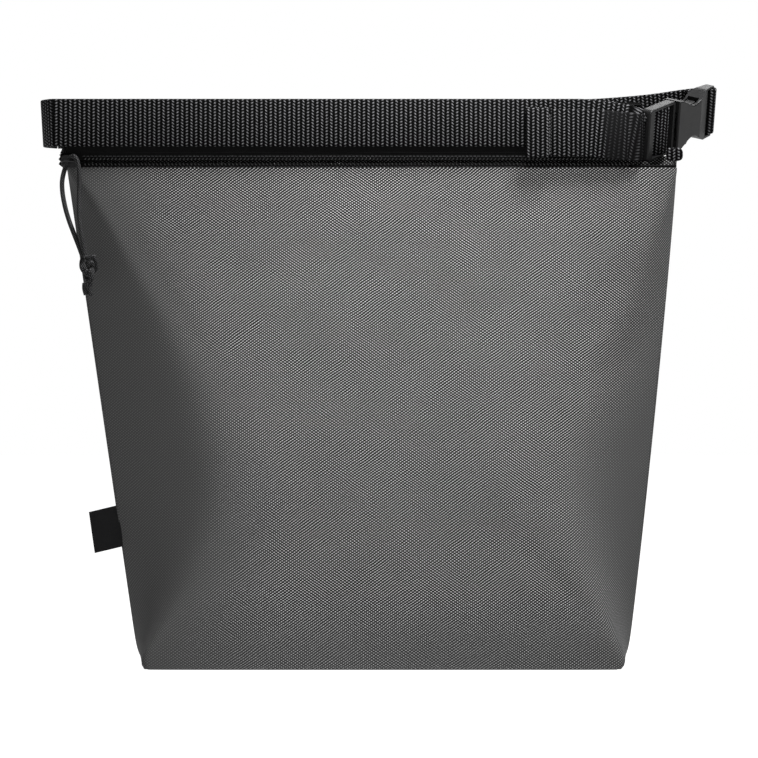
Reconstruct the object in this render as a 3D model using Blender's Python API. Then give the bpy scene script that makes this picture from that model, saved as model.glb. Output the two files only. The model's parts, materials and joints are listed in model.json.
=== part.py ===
"""A zipped insulated bag with a webbing strap that buckles round its collar.

Units are metres and +Z is up. The origin is the middle of the base, where the bag stands.
The front, with the zip, looks towards -Y. Layers lie inside one another with a small gap,
so every panel of cloth, foam and foil is a piece of its own.
"""
import math

import bmesh
import bpy
from mathutils import Euler, Matrix, Vector

# Layers, from the outside in
GAP = 0.0003
CLOTH = 0.0008
FOAM = 0.0040
FOIL = 0.0004
LINER_GAP = 0.0009
MITRE_GAP = 0.00022
FOAM_MITRE = 0.0005

# Body
TOP_WIDTH = 0.3062
TOP_HALF = TOP_WIDTH / 2
BASE_WIDTH = 0.2350
BASE_DEPTH = 0.0800
MOUTH_DEPTH = 0.0180
FRONT_HEIGHT = 0.2495
BACK_RISE = 0.0066
FRONT_BELLY = 0.0025
SIDE_SPREAD = 0.0056
SPREAD_RISE = 0.0080
SIDE_BULGE = 0.0009
GUSSET_FOLD = 0.0420
FOLD_RISE = 0.75
FOLD_POWER = 1.6
LEAN = 0.0055
ROW_SPACING = 1.3
WALL_ROWS = 15
FACE_STEPS = 10
GUSSET_STEPS = 4
FOAM_MARGIN = 0.0065
FOIL_MARGIN = 0.0010

# Zip
ZIP_RISE = 0.0030
CHAIN_HEIGHT = 0.0040
CHAIN_THICK = 0.0011
CHAIN_SPLIT = 0.0014
CHAIN_START = -(TOP_HALF - 0.0036)
CHAIN_END = TOP_HALF - 0.0296
TAPE_THICK = 0.0005
TAPE_INSET = 0.00135
TAPE_REACH = 0.0085
SLIDER_LENGTH = 0.0084
SLIDER_HEIGHT = 0.0070
SLIDER_PLATE = 0.0009
SLIDER_BACK_PLATE = 0.0006
SLIDER_CLEARANCE = 0.0004
SLIDER_POST = 0.0008
SLIDER_POST_AT = 0.36
SLIDER_TAPER = 0.12
SLIDER_SQUARENESS = 0.5
SLIDER_REAR_SIZE = 0.8
LIP_LENGTH = 0.60
LIP_OUT = 0.0029
SLIDER_PARK = -(TOP_HALF + 0.0034)
RIGHT_END_HEIGHT = 0.0011
TAB_THICK = 0.0016
TAB_LENGTH = 0.0055
TAB_HEIGHT = 0.0050
TAB_ROUND = 0.0031
BAIL_RADIUS = 0.00065
BAIL_HALF = 0.0039
BAIL_STANDOFF = 0.0042
BAIL_CORNER = 0.0012

# Collar above the zip
COLLAR_LEFT = -(TOP_HALF + 0.0089)
COLLAR_RIGHT = TOP_HALF - 0.0231
COLLAR_SLANT = 0.62
MOUTH_RIGHT = TOP_HALF - 0.0056
COLLAR_RISE = 0.0075
COLLAR_TOP_RISE = 0.0332
COLLAR_SHELL = 0.0012
COLLAR_STEP = 0.0002
COLLAR_STRAIGHT = 0.30
COLLAR_RIDGE = 0.0010
COLLAR_CORNER = 0.82

# Strap
WEB_WIDTH = 0.0238
WEB_THICK = 0.0014
WEB_STANDOFF = 0.0018
WEB_BOTTOM_RISE = 0.0104
DROOP_START = TOP_HALF - 0.0831
DROOP_END = TOP_HALF - 0.0241
DROOP_OFFSET = 0.0012
TAIL_RISE = 0.0016
TURN_X = -(TOP_HALF + 0.0111)
TURN_REACH = 0.0060
HEM_START = TOP_HALF - 0.0813
HEM_LENGTH = 0.0125
HEM_THICK = 0.0029
HEM_EXTRA = 0.0006
SPLIT_GAP = 0.0012
SEWN_RETURN = (0.0038, 0.0062, 0.0090, 0.0140)
RETURN_OFFSET = 0.0022
RUN_IN = (0.0080, 0.0030)
REST_MIDDLE = TOP_HALF - 0.0531
REST_NEAR = TOP_HALF - 0.0351
REST_LAST = TOP_HALF - 0.0293
TAIL_FIRST = TOP_HALF - 0.0293

# Buckle, in its own frame: x from the plug's free bar to the socket's bar, y back, z up
BUCKLE_AT = Vector((TOP_HALF - 0.0220, -0.0098, FRONT_HEIGHT + 0.0156))
BUCKLE_TURN = Euler((math.radians(13), math.radians(-14.5), math.radians(55.5)))
FRAME_LENGTH = 0.0260
FRAME_HALF = 0.0135
FRAME_THICK = 0.0056
SLOT_CLEARANCE = 0.0003
END_BAR = 0.0042
CENTRE_BAR_AT = 0.0170
CENTRE_BAR_RADIUS = 0.0016
SHOULDER = 0.0026
TONGUE_END = 0.0440
TONGUE_HALF = 0.0020
TONGUE_THICK = 0.0038
ARM_THICK = 0.0050
ARM_IN = 0.0042
ARM_OUT = 0.0064
ARM_TIP = 0.0474
CATCH_AT = 0.0385
PAD_PROUD = 0.0002
SOCKET_END = 0.0668
SOCKET_ROUND = 0.0018
SOCKET_HALF = 0.0133
SOCKET_THICK = 0.0096
SOCKET_WALL = 0.0016
MOUTH_HALF = 0.0074
WAIST_AT = 0.0425
WAIST_BEFORE = 0.0155
WAIST_AFTER = 0.0150
WAIST_DEPTH = 0.0050
WINDOW_END = 0.0490
SOCKET_SLOT_START = 0.0583
SOCKET_BAR_RADIUS = 0.0021

# Pull cord and side label
CORD = 0.0024
KNOT_HANG = Vector((0.0103, -0.00665, -0.0542))
KNOT_HALF_WIDTH = 0.0046
KNOT_HALF_HEIGHT = 0.0066
KNOT_TURNS = 3
LABEL_HEIGHT = 0.0206
LABEL_REACH = 0.0138
LABEL_THICK = 0.0012
LABEL_GAP = 0.0004
LABEL_AT = 0.0699
LABEL_TILT = math.radians(14)

MIDDLE_Z = FRONT_HEIGHT + ZIP_RISE
MOUTH_HALF_DEPTH = MOUTH_DEPTH / 2
TAPE_FRONT = -(MOUTH_HALF_DEPTH - TAPE_INSET)
CHAIN_FRONT = TAPE_FRONT - GAP - CHAIN_THICK
PLATE_BACK = CHAIN_FRONT - SLIDER_CLEARANCE
PLATE_FRONT = PLATE_BACK - SLIDER_PLATE
BAIL_Y = PLATE_FRONT - BAIL_STANDOFF
COLLAR_BOTTOM = FRONT_HEIGHT + COLLAR_RISE
COLLAR_TOP = FRONT_HEIGHT + COLLAR_TOP_RISE
COLLAR_HALF_DEPTH = MOUTH_HALF_DEPTH + COLLAR_STEP
WEB_Z = FRONT_HEIGHT + WEB_BOTTOM_RISE + WEB_WIDTH / 2
FRONT_WEB_Y = -(COLLAR_HALF_DEPTH + WEB_STANDOFF + WEB_THICK / 2)
BACK_WEB_Y = COLLAR_HALF_DEPTH + GAP + WEB_THICK / 2
TAIL_WEB_Y = FRONT_WEB_Y - WEB_THICK - GAP
TAIL_Z = BUCKLE_AT.z + TAIL_RISE
SLOT_HALF = WEB_WIDTH / 2 + SLOT_CLEARANCE
CENTRE_TURN = CENTRE_BAR_RADIUS + GAP + WEB_THICK / 2
MAIN_Y = CENTRE_TURN + 0.0001
TAIL_Y = MAIN_Y - WEB_THICK - GAP - 0.0001

FOAM_AT = CLOTH + GAP
FOIL_AT = FOAM_AT + FOAM + LINER_GAP
FOIL_IN = FOIL_AT + FOIL
FOAM_TOP = FRONT_HEIGHT - FOAM_MARGIN


def clear_scene():
    for old in list(bpy.data.objects):
        bpy.data.objects.remove(old, do_unlink=True)


def material(name, colour, roughness, metallic=0.0):
    made = bpy.data.materials.new(name)
    made.use_nodes = True
    shader = made.node_tree.nodes["Principled BSDF"]
    shader.inputs["Base Color"].default_value = (*colour, 1.0)
    shader.inputs["Roughness"].default_value = roughness
    shader.inputs["Metallic"].default_value = metallic
    made.diffuse_color = (*colour, 1.0)
    return made


def add_object(name, data, finish):
    made = bpy.data.objects.new(name, data)
    bpy.context.collection.objects.link(made)
    made.data.materials.append(finish)
    return made


def mesh_object(name, shape, finish, smooth=True):
    """Turns a bmesh into an object, with its faces pointing out."""
    bmesh.ops.recalc_face_normals(shape, faces=shape.faces)
    data = bpy.data.meshes.new(name)
    shape.to_mesh(data)
    shape.free()
    if smooth:
        data.shade_smooth()
        data.set_sharp_from_angle(angle=math.radians(35))
    return add_object(name, data, finish)


def mix(a, b, share):
    return a + (b - a) * share


def ease(share):
    share = min(max(share, 0.0), 1.0)
    return share * share * (3 - 2 * share)


# The bag's form, as functions of height

def bulge(z):
    """How far the filled side swells between the base and the mouth."""
    return SIDE_BULGE * math.sqrt(max(math.sin(math.pi * min(z / FRONT_HEIGHT, 1)), 0))


def middle_x(z):
    """The body leans a little, and its filled right side stands out more than its left."""
    return bulge(z) - LEAN * z / FRONT_HEIGHT


def seam_half(z):
    """Half the width at the side seams, which spread fast above the base and then slowly."""
    share = z / FRONT_HEIGHT
    spread = SIDE_SPREAD * (1 - share) * (1 - math.exp(-z / SPREAD_RISE))
    return mix(BASE_WIDTH, TOP_WIDTH, share) / 2 + spread + bulge(z)


def fold_out(z):
    """How far the side seam stands out from the creases: nothing at the base and the mouth."""
    share = min(z / FRONT_HEIGHT, 1) ** FOLD_RISE
    return GUSSET_FOLD * max(math.sin(math.pi * share), 0.0) ** FOLD_POWER


def corner_half(z):
    """Half the width of the front and back faces, at their creases."""
    return seam_half(z) - fold_out(z)


def crease_inset(z, inset):
    """How far a layer's crease moves in, so that the layer is evenly thick round it."""
    slant = math.hypot(crease_depth(z), fold_out(z))
    return inset * (slant - fold_out(z)) / crease_depth(z)


def seam_inset(z, inset):
    """How far a layer's outer fold moves in, so that the gusset is evenly thick."""
    return inset * math.hypot(crease_depth(z), fold_out(z)) / crease_depth(z)


def crease_depth(z):
    return mix(BASE_DEPTH, MOUTH_DEPTH, min(z / FRONT_HEIGHT, 1)) / 2


def belly(across, z):
    share = min(z / FRONT_HEIGHT, 1)
    return FRONT_BELLY * math.sin(math.pi * share) * (1 - across ** 4)


def face_point(side, across, z, inset, gap):
    """A point of the front (side -1) or back (side 1) face, inset from the outside."""
    x = middle_x(z) + across * (corner_half(z) - crease_inset(z, inset) - gap)
    return Vector((x, side * (crease_depth(z) - inset + belly(across, z)), z))


def gusset_point(side, across, z, inset, gap):
    """A point of the left (side -1) or right (side 1) gusset, folded out along its seam."""
    crease = corner_half(z) - crease_inset(z, inset)
    seam = seam_half(z) - seam_inset(z, inset)
    x = middle_x(z) + side * mix(seam, crease, abs(across))
    return Vector((x, across * (crease_depth(z) - inset - gap), z))


def height(row, rows, low, top):
    """Rows that lie closer together near the base, and are the same for every layer."""
    if row == 0:
        return low
    if row == rows:
        return top
    return FOAM_TOP * (row / WALL_ROWS) ** ROW_SPACING


def layer(name, place, across_steps, up_steps, outer, inner, finish):
    """A sheet of even thickness: a grid that is extruded and then shaped on both sides."""
    shape = bmesh.new()
    bmesh.ops.create_grid(shape, x_segments=across_steps, y_segments=up_steps, size=1.0)
    front = list(shape.verts)
    made = bmesh.ops.extrude_face_region(shape, geom=list(shape.faces))
    back = [item for item in made["geom"] if isinstance(item, bmesh.types.BMVert)]
    for verts, inset in ((front, outer), (back, inner)):
        for vert in verts:
            vert.co = place(vert.co.x, (vert.co.y + 1) / 2, inset)
    return mesh_object(name, shape, finish)


def wall(name, form, side, outer, thick, top, finish):
    """One layer of one wall, which starts on a mitre with the base."""
    mitre = FOAM_MITRE if outer else MITRE_GAP
    rows = WALL_ROWS if top == FOAM_TOP else WALL_ROWS + 1
    steps, turn = (FACE_STEPS, -side) if form is face_point else (GUSSET_STEPS, side)

    def place(across, up, inset):
        z = height(round(up * rows), rows, inset + GAP, top)
        return form(side, turn * across, z, inset, mitre)

    return layer(name, place, steps, rows, outer, outer + thick, finish)


def base_layer(name, outer, thick, finish):
    """One layer of the base, whose edges are mitred to the walls."""

    def place(across, up, inset):
        x = across * (BASE_WIDTH / 2 - inset - GAP)
        y = (up * 2 - 1) * (crease_depth(inset + GAP) - inset - GAP)
        return Vector((x, y, inset))

    return layer(name, place, FACE_STEPS, GUSSET_STEPS, outer, outer + thick, finish)


def section(z, inset):
    """The bag's outline at one height, as a ring of points."""
    ring = []
    for side, form, steps in (
        (-1, face_point, FACE_STEPS),
        (1, gusset_point, GUSSET_STEPS),
        (1, face_point, FACE_STEPS),
        (-1, gusset_point, GUSSET_STEPS),
    ):
        forward = (form is face_point and side < 0) or (form is gusset_point and side > 0)
        for step in range(steps):
            across = 2 * step / steps - 1
            ring.append(form(side, across if forward else -across, z, inset, 0.0))
    return ring


def cup(name, outer_rings, inner_rings, finish):
    """An open-topped shell: rings up the outside, over the rim and down the inside."""
    rings = outer_rings + inner_rings[::-1]
    shape = bmesh.new()
    loops = [[shape.verts.new(point) for point in ring] for ring in rings]
    count = len(loops[0])
    shape.faces.new(loops[0])
    for low, high in zip(loops, loops[1:]):
        for step in range(count):
            after = (step + 1) % count
            shape.faces.new((low[step], low[after], high[after], high[step]))
    shape.faces.new(loops[-1])
    return mesh_object(name, shape, finish)


def make_body(cloth, foam, foil):
    """The outer cloth, the foam behind it and the foil bag inside."""
    back_top = FRONT_HEIGHT + BACK_RISE
    wall("front_panel", face_point, -1, 0.0, CLOTH, FRONT_HEIGHT, cloth)
    wall("back_panel", face_point, 1, 0.0, CLOTH, back_top, cloth)
    wall("left_gusset", gusset_point, -1, 0.0, CLOTH, FRONT_HEIGHT, cloth)
    wall("right_gusset", gusset_point, 1, 0.0, CLOTH, FRONT_HEIGHT, cloth)
    base_layer("base_panel", 0.0, CLOTH, cloth)
    wall("front_foam", face_point, -1, FOAM_AT, FOAM, FOAM_TOP, foam)
    wall("back_foam", face_point, 1, FOAM_AT, FOAM, FOAM_TOP, foam)
    wall("left_foam", gusset_point, -1, FOAM_AT, FOAM, FOAM_TOP, foam)
    wall("right_foam", gusset_point, 1, FOAM_AT, FOAM, FOAM_TOP, foam)
    base_layer("base_foam", FOAM_AT, FOAM, foam)
    rim = FRONT_HEIGHT - FOIL_MARGIN
    rows = WALL_ROWS + 1
    outer = [section(height(row, rows, FOIL_AT, rim), FOIL_AT) for row in range(rows + 1)]
    inner = [section(height(row, rows, FOIL_IN, rim), FOIL_IN) for row in range(rows + 1)]
    cup("foil_liner", outer, inner, foil)


def block(name, low, high, finish, bevel=0.0, segments=2):
    """A box between two corners, with its edges rounded where a bevel is given."""
    shape = bmesh.new()
    bmesh.ops.create_cube(shape, size=1.0)
    for vert in shape.verts:
        for axis in range(3):
            vert.co[axis] = low[axis] if vert.co[axis] < 0 else high[axis]
    if bevel:
        bmesh.ops.bevel(
            shape, geom=list(shape.edges), offset=bevel, segments=segments,
            profile=0.5, affect="EDGES",
        )
    return mesh_object(name, shape, finish)


def outline_solid(name, outline, plane, start, end, finish, bevel=0.0):
    """A flat outline pushed through a thickness. The plane is 'xz', 'xy' or 'yz'."""
    axes = {"xz": (0, 2, 1), "xy": (0, 1, 2), "yz": (1, 2, 0)}[plane]
    shape = bmesh.new()
    verts = []
    for first, second in outline:
        point = Vector()
        point[axes[0]], point[axes[1]], point[axes[2]] = first, second, start
        verts.append(shape.verts.new(point))
    face = shape.faces.new(verts)
    made = bmesh.ops.extrude_face_region(shape, geom=[face])
    for item in made["geom"]:
        if isinstance(item, bmesh.types.BMVert):
            item.co[axes[2]] = end
    if bevel:
        rims = [e for e in shape.edges if abs(e.verts[0].co[axes[2]] - e.verts[1].co[axes[2]]) < 1e-7]
        bmesh.ops.bevel(shape, geom=rims, offset=bevel, segments=2, profile=0.5, affect="EDGES")
    return mesh_object(name, shape, finish)


def boolean(target, other, operation):
    """Joins, cuts or trims a piece with another shape, which is then only a guide."""
    step = target.modifiers.new(operation.lower(), "BOOLEAN")
    step.operation = operation
    step.solver = "EXACT"
    step.object = other
    other.hide_render = True
    other.display_type = "WIRE"


def make_zip(tape, teeth, black):
    """Both tapes with their coils, and the cloth ends that close the mouth's corners."""
    tape_back = TAPE_FRONT + TAPE_THICK
    inner = CHAIN_SPLIT / 2
    outer = CHAIN_HEIGHT / 2
    chain_back = CHAIN_FRONT + CHAIN_THICK
    in_body = face_point(-1, -1, FRONT_HEIGHT - TAPE_REACH, CLOTH + GAP, MITRE_GAP).x
    for name, sign, left in (("lower", -1, in_body), ("upper", 1, COLLAR_LEFT + 2 * COLLAR_SHELL)):
        near = MIDDLE_Z + sign * inner
        low, high = sorted((near, MIDDLE_Z + sign * TAPE_REACH))
        block(f"{name}_zip_tape", (left, TAPE_FRONT, low), (CHAIN_END, tape_back, high), tape)
        low, high = sorted((near, MIDDLE_Z + sign * outer))
        block(
            f"{name}_zip_coil", (CHAIN_START, CHAIN_FRONT, low),
            (CHAIN_END, chain_back, high), teeth, bevel=(outer - inner) * 0.3,
        )
    low = FRONT_HEIGHT + GAP
    high = COLLAR_BOTTOM - GAP
    behind = tape_back + 2 * SLIDER_CLEARANCE + SLIDER_BACK_PLATE + GAP
    back = MOUTH_HALF_DEPTH - CLOTH - GAP
    stub = SLIDER_PARK + SLIDER_LENGTH / 2
    left_end = (
        (COLLAR_LEFT, -MOUTH_HALF_DEPTH), (COLLAR_LEFT + COLLAR_SHELL, -MOUTH_HALF_DEPTH),
        (COLLAR_LEFT + COLLAR_SHELL, behind), (stub, behind), (stub, back),
        (COLLAR_LEFT, back),
    )
    outline_solid("left_zip_end", left_end, "xy", low, high, black)
    right_in = CHAIN_END + GAP
    right_end = (
        (right_in, -MOUTH_HALF_DEPTH), (MOUTH_RIGHT, -MOUTH_HALF_DEPTH),
        (MOUTH_RIGHT, back), (right_in, back),
    )
    step = low + RIGHT_END_HEIGHT
    outline_solid("right_zip_end", right_end, "xy", low, step, black)
    tab_start = MOUTH_RIGHT - TAB_LENGTH
    tab = [(tab_start, step + GAP), (MOUTH_RIGHT, step + GAP)]
    for number in range(7):
        angle = math.radians(20 * number - 10)
        x = MOUTH_RIGHT + TAB_ROUND * math.cos(angle)
        tab.append((x, step + TAB_HEIGHT - TAB_ROUND / 3 + TAB_ROUND * math.sin(angle)))
    tab.append((tab_start, step + TAB_HEIGHT))
    outline_solid("zip_end_tab", tab, "xz", TAPE_FRONT, TAPE_FRONT + TAB_THICK, tape, bevel=0.0002)


def slider_outline(size):
    """The slider seen from the front: a broad nose that narrows to the tail."""
    steps = 24
    points = []
    for step in range(steps):
        angle = 2 * math.pi * step / steps
        along = math.cos(angle)
        round_x = math.copysign(abs(along) ** SLIDER_SQUARENESS, along)
        round_z = math.copysign(abs(math.sin(angle)) ** SLIDER_SQUARENESS, math.sin(angle))
        taper = 1 - SLIDER_TAPER * (round_x + 1) / 2
        x = SLIDER_PARK + round_x * SLIDER_LENGTH / 2
        points.append((x, MIDDLE_Z + round_z * taper * size * SLIDER_HEIGHT / 2))
    return points


def bail_path():
    """The bail's arch: a foot on the plate, the bar that the cord hangs on, and a foot."""
    start = PLATE_BACK - SLIDER_PLATE / 2
    points = [Vector((-BAIL_HALF, start, 0))]
    for sign, first, last in ((-1, 0, 90), (1, 90, 0)):
        for step in range(4):
            angle = math.radians(mix(first, last, step / 3))
            x = sign * (BAIL_HALF - BAIL_CORNER + BAIL_CORNER * math.cos(angle))
            y = BAIL_Y + BAIL_CORNER - BAIL_CORNER * math.sin(angle)
            points.append(Vector((x, y, 0)))
    points.append(Vector((BAIL_HALF, start, 0)))
    return [point + Vector((SLIDER_PARK, 0, MIDDLE_Z)) for point in points]


def tube(name, points, radius, resolution, finish):
    """A round bar or cord: a curve with a bevel and closed ends."""
    data = bpy.data.curves.new(name, "CURVE")
    data.dimensions = "3D"
    data.bevel_depth = radius
    data.bevel_resolution = resolution
    data.use_fill_caps = True
    spline = data.splines.new("POLY")
    spline.points.add(len(points) - 1)
    for knot, point in zip(spline.points, points):
        knot.co = (*point, 1.0)
    return add_object(name, data, finish)


def make_slider(paint):
    """The slider: two plates joined by a post between the coils, lips and a bail."""
    plate = outline_solid(
        "slider", slider_outline(1.0), "xz", PLATE_FRONT, PLATE_BACK, paint, bevel=0.0002
    )
    rear_front = TAPE_FRONT + TAPE_THICK + SLIDER_CLEARANCE
    rear_back = rear_front + SLIDER_BACK_PLATE
    rear_outline = slider_outline(SLIDER_REAR_SIZE)
    rear = outline_solid("slider_rear", rear_outline, "xz", rear_front, rear_back, paint)
    half = SLIDER_POST / 2
    post_x = SLIDER_PARK - SLIDER_LENGTH * SLIDER_POST_AT
    overlap = SLIDER_PLATE / 2
    post = block(
        "slider_post", (post_x - half, PLATE_BACK - overlap, MIDDLE_Z - half),
        (post_x + half, rear_front + SLIDER_BACK_PLATE / 2, MIDDLE_Z + half), paint,
    )
    boolean(plate, rear, "UNION")
    boolean(plate, post, "UNION")
    lip_back = TAPE_FRONT - SLIDER_CLEARANCE
    lip_in = CHAIN_HEIGHT / 2 + SLIDER_CLEARANCE
    lip_half = SLIDER_LENGTH * LIP_LENGTH / 2
    for name, sign in (("slider_lip_low", -1), ("slider_lip_high", 1)):
        low, high = sorted((MIDDLE_Z + sign * lip_in, MIDDLE_Z + sign * LIP_OUT))
        lip = block(
            name, (SLIDER_PARK - lip_half, PLATE_BACK - overlap, low),
            (SLIDER_PARK + lip_half, lip_back, high), paint,
        )
        boolean(plate, lip, "UNION")
    arch = tube("slider_arch", bail_path(), BAIL_RADIUS, 1, paint)
    bail = bpy.data.objects.new("slider_bail", bpy.data.meshes.new_from_object(arch))
    bpy.context.collection.objects.link(bail)
    bpy.data.objects.remove(arch, do_unlink=True)
    boolean(plate, bail, "UNION")


def smooth_path(points, steps):
    """Points along a smooth curve through the given ones, several to each span."""
    points = [Vector(point) for point in points]
    ends = [points[0] * 2 - points[1]] + points + [points[-1] * 2 - points[-2]]
    path = []
    for before, start, end, after in zip(ends, ends[1:], ends[2:], ends[3:]):
        for step in range(steps):
            t = step / steps
            path.append(0.5 * (
                2 * start + (end - before) * t
                + (2 * before - 5 * start + 4 * end - after) * t ** 2
                + (3 * start - before - 3 * end + after) * t ** 3
            ))
    path.append(points[-1])
    return path


# The pull cord's route from the bail's bar, in millimetres: one strand behind it, one over it
LEFT_STRAND = (
    (-0.8, 2.30, -0.8), (-2.0, 2.05, -3.2), (-3.0, 1.15, -6.8),
    (-3.5, -0.25, -11.0), (-3.1, -1.65, -16.5), (-1.7, -3.05, -23.4),
    (0.3, -4.25, -30.0), (2.9, -5.15, -36.8), (5.2, -5.75, -42.6),
    (6.9, -6.00, -47.3),
)
RIGHT_STRAND = (
    (-0.3, 2.30, 0.4), (0.4, 1.80, 1.6), (1.4, 0.65, 2.2),
    (2.5, -0.75, 2.2), (3.6, -1.95, 1.1), (4.5, -2.55, -1.1),
    (5.1, -2.75, -4.8), (5.4, -3.05, -10.5), (5.3, -3.65, -16.5),
    (5.3, -4.75, -23.0), (5.7, -6.15, -29.5), (6.5, -7.55, -36.0),
    (7.6, -8.35, -42.0), (8.6, -8.60, -47.1),
)
TAILS = (
    ((8.2, -6.25, -61.1), (8.1, -6.35, -63.8), (8.9, -6.45, -67.0)),
    ((11.1, -6.85, -61.1), (10.7, -6.95, -64.0), (11.5, -7.05, -67.4)),
)


# The strap behind the bag: from the mouth's right corner, back from the collar and up, in mm
BACK_SWEEP = (
    (-73.1, 3.0, 0.8), (-43.2, 11.1, 2.2), (-17.4, 19.7, 4.9), (-0.7, 26.2, 8.0),
)


def hung(points):
    """Points below the bail's bar, in the bag's frame."""
    return [Vector((SLIDER_PARK, BAIL_Y, MIDDLE_Z)) + Vector(point) / 1000 for point in points]


def make_pull(cord_finish):
    """The cord that hangs on the bail, its knot and its two cut ends."""
    for name, route in (("pull_cord_left", LEFT_STRAND), ("pull_cord_right", RIGHT_STRAND)):
        tube(name, smooth_path(hung(route), 2), CORD / 2, 2, cord_finish)
    for number, route in enumerate(TAILS, start=1):
        tube(f"cord_tail_{number}", hung(route), CORD / 2, 2, cord_finish)
    knot_at = Vector((SLIDER_PARK, BAIL_Y, MIDDLE_Z)) + KNOT_HANG
    shape = bmesh.new()
    rows, columns = 6 * KNOT_TURNS, 14
    bottom = shape.verts.new(knot_at - Vector((0, 0, KNOT_HALF_HEIGHT)))
    rings = []
    for row in range(1, rows):
        share = row / rows
        height = -math.cos(math.pi * share) * KNOT_HALF_HEIGHT
        swell = math.sin(math.pi * share) ** 0.6
        ridge = 1 - 0.14 * (0.5 + 0.5 * math.cos(2 * math.pi * KNOT_TURNS * share))
        ring = []
        for column in range(columns):
            angle = 2 * math.pi * column / columns
            offset = Vector((math.cos(angle), 0.9 * math.sin(angle), 0)) * swell * ridge
            tilt = Vector((0, 0, 0.25 * offset.x * KNOT_HALF_HEIGHT * swell))
            at = knot_at + offset * KNOT_HALF_WIDTH + tilt * 0.5 + Vector((0, 0, height))
            ring.append(shape.verts.new(at))
        rings.append(ring)
    top = shape.verts.new(knot_at + Vector((0, 0, KNOT_HALF_HEIGHT)))
    for low, high in zip(rings, rings[1:]):
        for column in range(columns):
            after = (column + 1) % columns
            shape.faces.new((low[column], low[after], high[after], high[column]))
    for column in range(columns):
        after = (column + 1) % columns
        shape.faces.new((bottom, rings[0][after], rings[0][column]))
        shape.faces.new((top, rings[-1][column], rings[-1][after]))
    mesh_object("cord_knot", shape, cord_finish)


def make_collar(black):
    """The cloth collar above the zip: a front and a back half that meet along the top."""
    def half_collar(name, side):
        def place(around, up, inset):
            z = mix(COLLAR_BOTTOM, COLLAR_TOP - inset, up)
            lean = ease((up - COLLAR_STRAIGHT) / (1 - COLLAR_STRAIGHT))
            depth = mix(COLLAR_HALF_DEPTH, COLLAR_RIDGE + COLLAR_SHELL, lean) - inset
            along = min(max(around / COLLAR_CORNER, -1), 1) / 2 + 0.5
            closing = max(abs(around) - COLLAR_CORNER, 0) / (1 - COLLAR_CORNER)
            y = side * mix(depth, GAP / 2, closing)
            right = COLLAR_RIGHT + y * COLLAR_SLANT - inset
            return Vector((mix(COLLAR_LEFT + inset, right, along), y, z))

        layer(name, place, 22, 8, 0.0, COLLAR_SHELL, black)

    half_collar("collar_front", -1)
    half_collar("collar_back", 1)


def strap(name, stations, finish):
    """Webbing along a path. Each station is a middle point and the way its edge stands up."""
    shape = bmesh.new()
    middles = [point for point, _ in stations]
    rings = []
    for number, (point, up) in enumerate(stations):
        before = middles[max(number - 1, 0)]
        after = middles[min(number + 1, len(middles) - 1)]
        along = (after - before).normalized()
        out = along.cross(up).normalized() * WEB_THICK / 2
        rise = up.normalized() * WEB_WIDTH / 2
        corners = (point + out + rise, point - out + rise, point - out - rise, point + out - rise)
        rings.append([shape.verts.new(corner) for corner in corners])
    shape.faces.new(rings[0])
    for low, high in zip(rings, rings[1:]):
        for step in range(4):
            after = (step + 1) % 4
            shape.faces.new((low[step], low[after], high[after], high[step]))
    shape.faces.new(rings[-1])
    return mesh_object(name, shape, finish)


BUCKLE_MATRIX = Matrix.Translation(BUCKLE_AT) @ BUCKLE_TURN.to_matrix().to_4x4()
BUCKLE_UP = BUCKLE_TURN.to_matrix() @ Vector((0, 0, 1))


def at_buckle(x, y):
    """A point of the buckle's middle plane, in the bag's frame."""
    return BUCKLE_MATRIX @ Vector((x, y, 0))


def droop(x):
    """The front strap hangs lower towards the buckle's weight."""
    share = ease((x - DROOP_START) / (DROOP_END - DROOP_START))
    return mix(WEB_Z, BUCKLE_AT.z + DROOP_OFFSET, share)


def stations_of(points, ups, steps=3):
    """Stations on a smooth curve, with the edge turning evenly between the given ways."""
    path = smooth_path(points, steps)
    ways = smooth_path(ups, steps)
    return [(point, way.normalized()) for point, way in zip(path, ways)]


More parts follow.
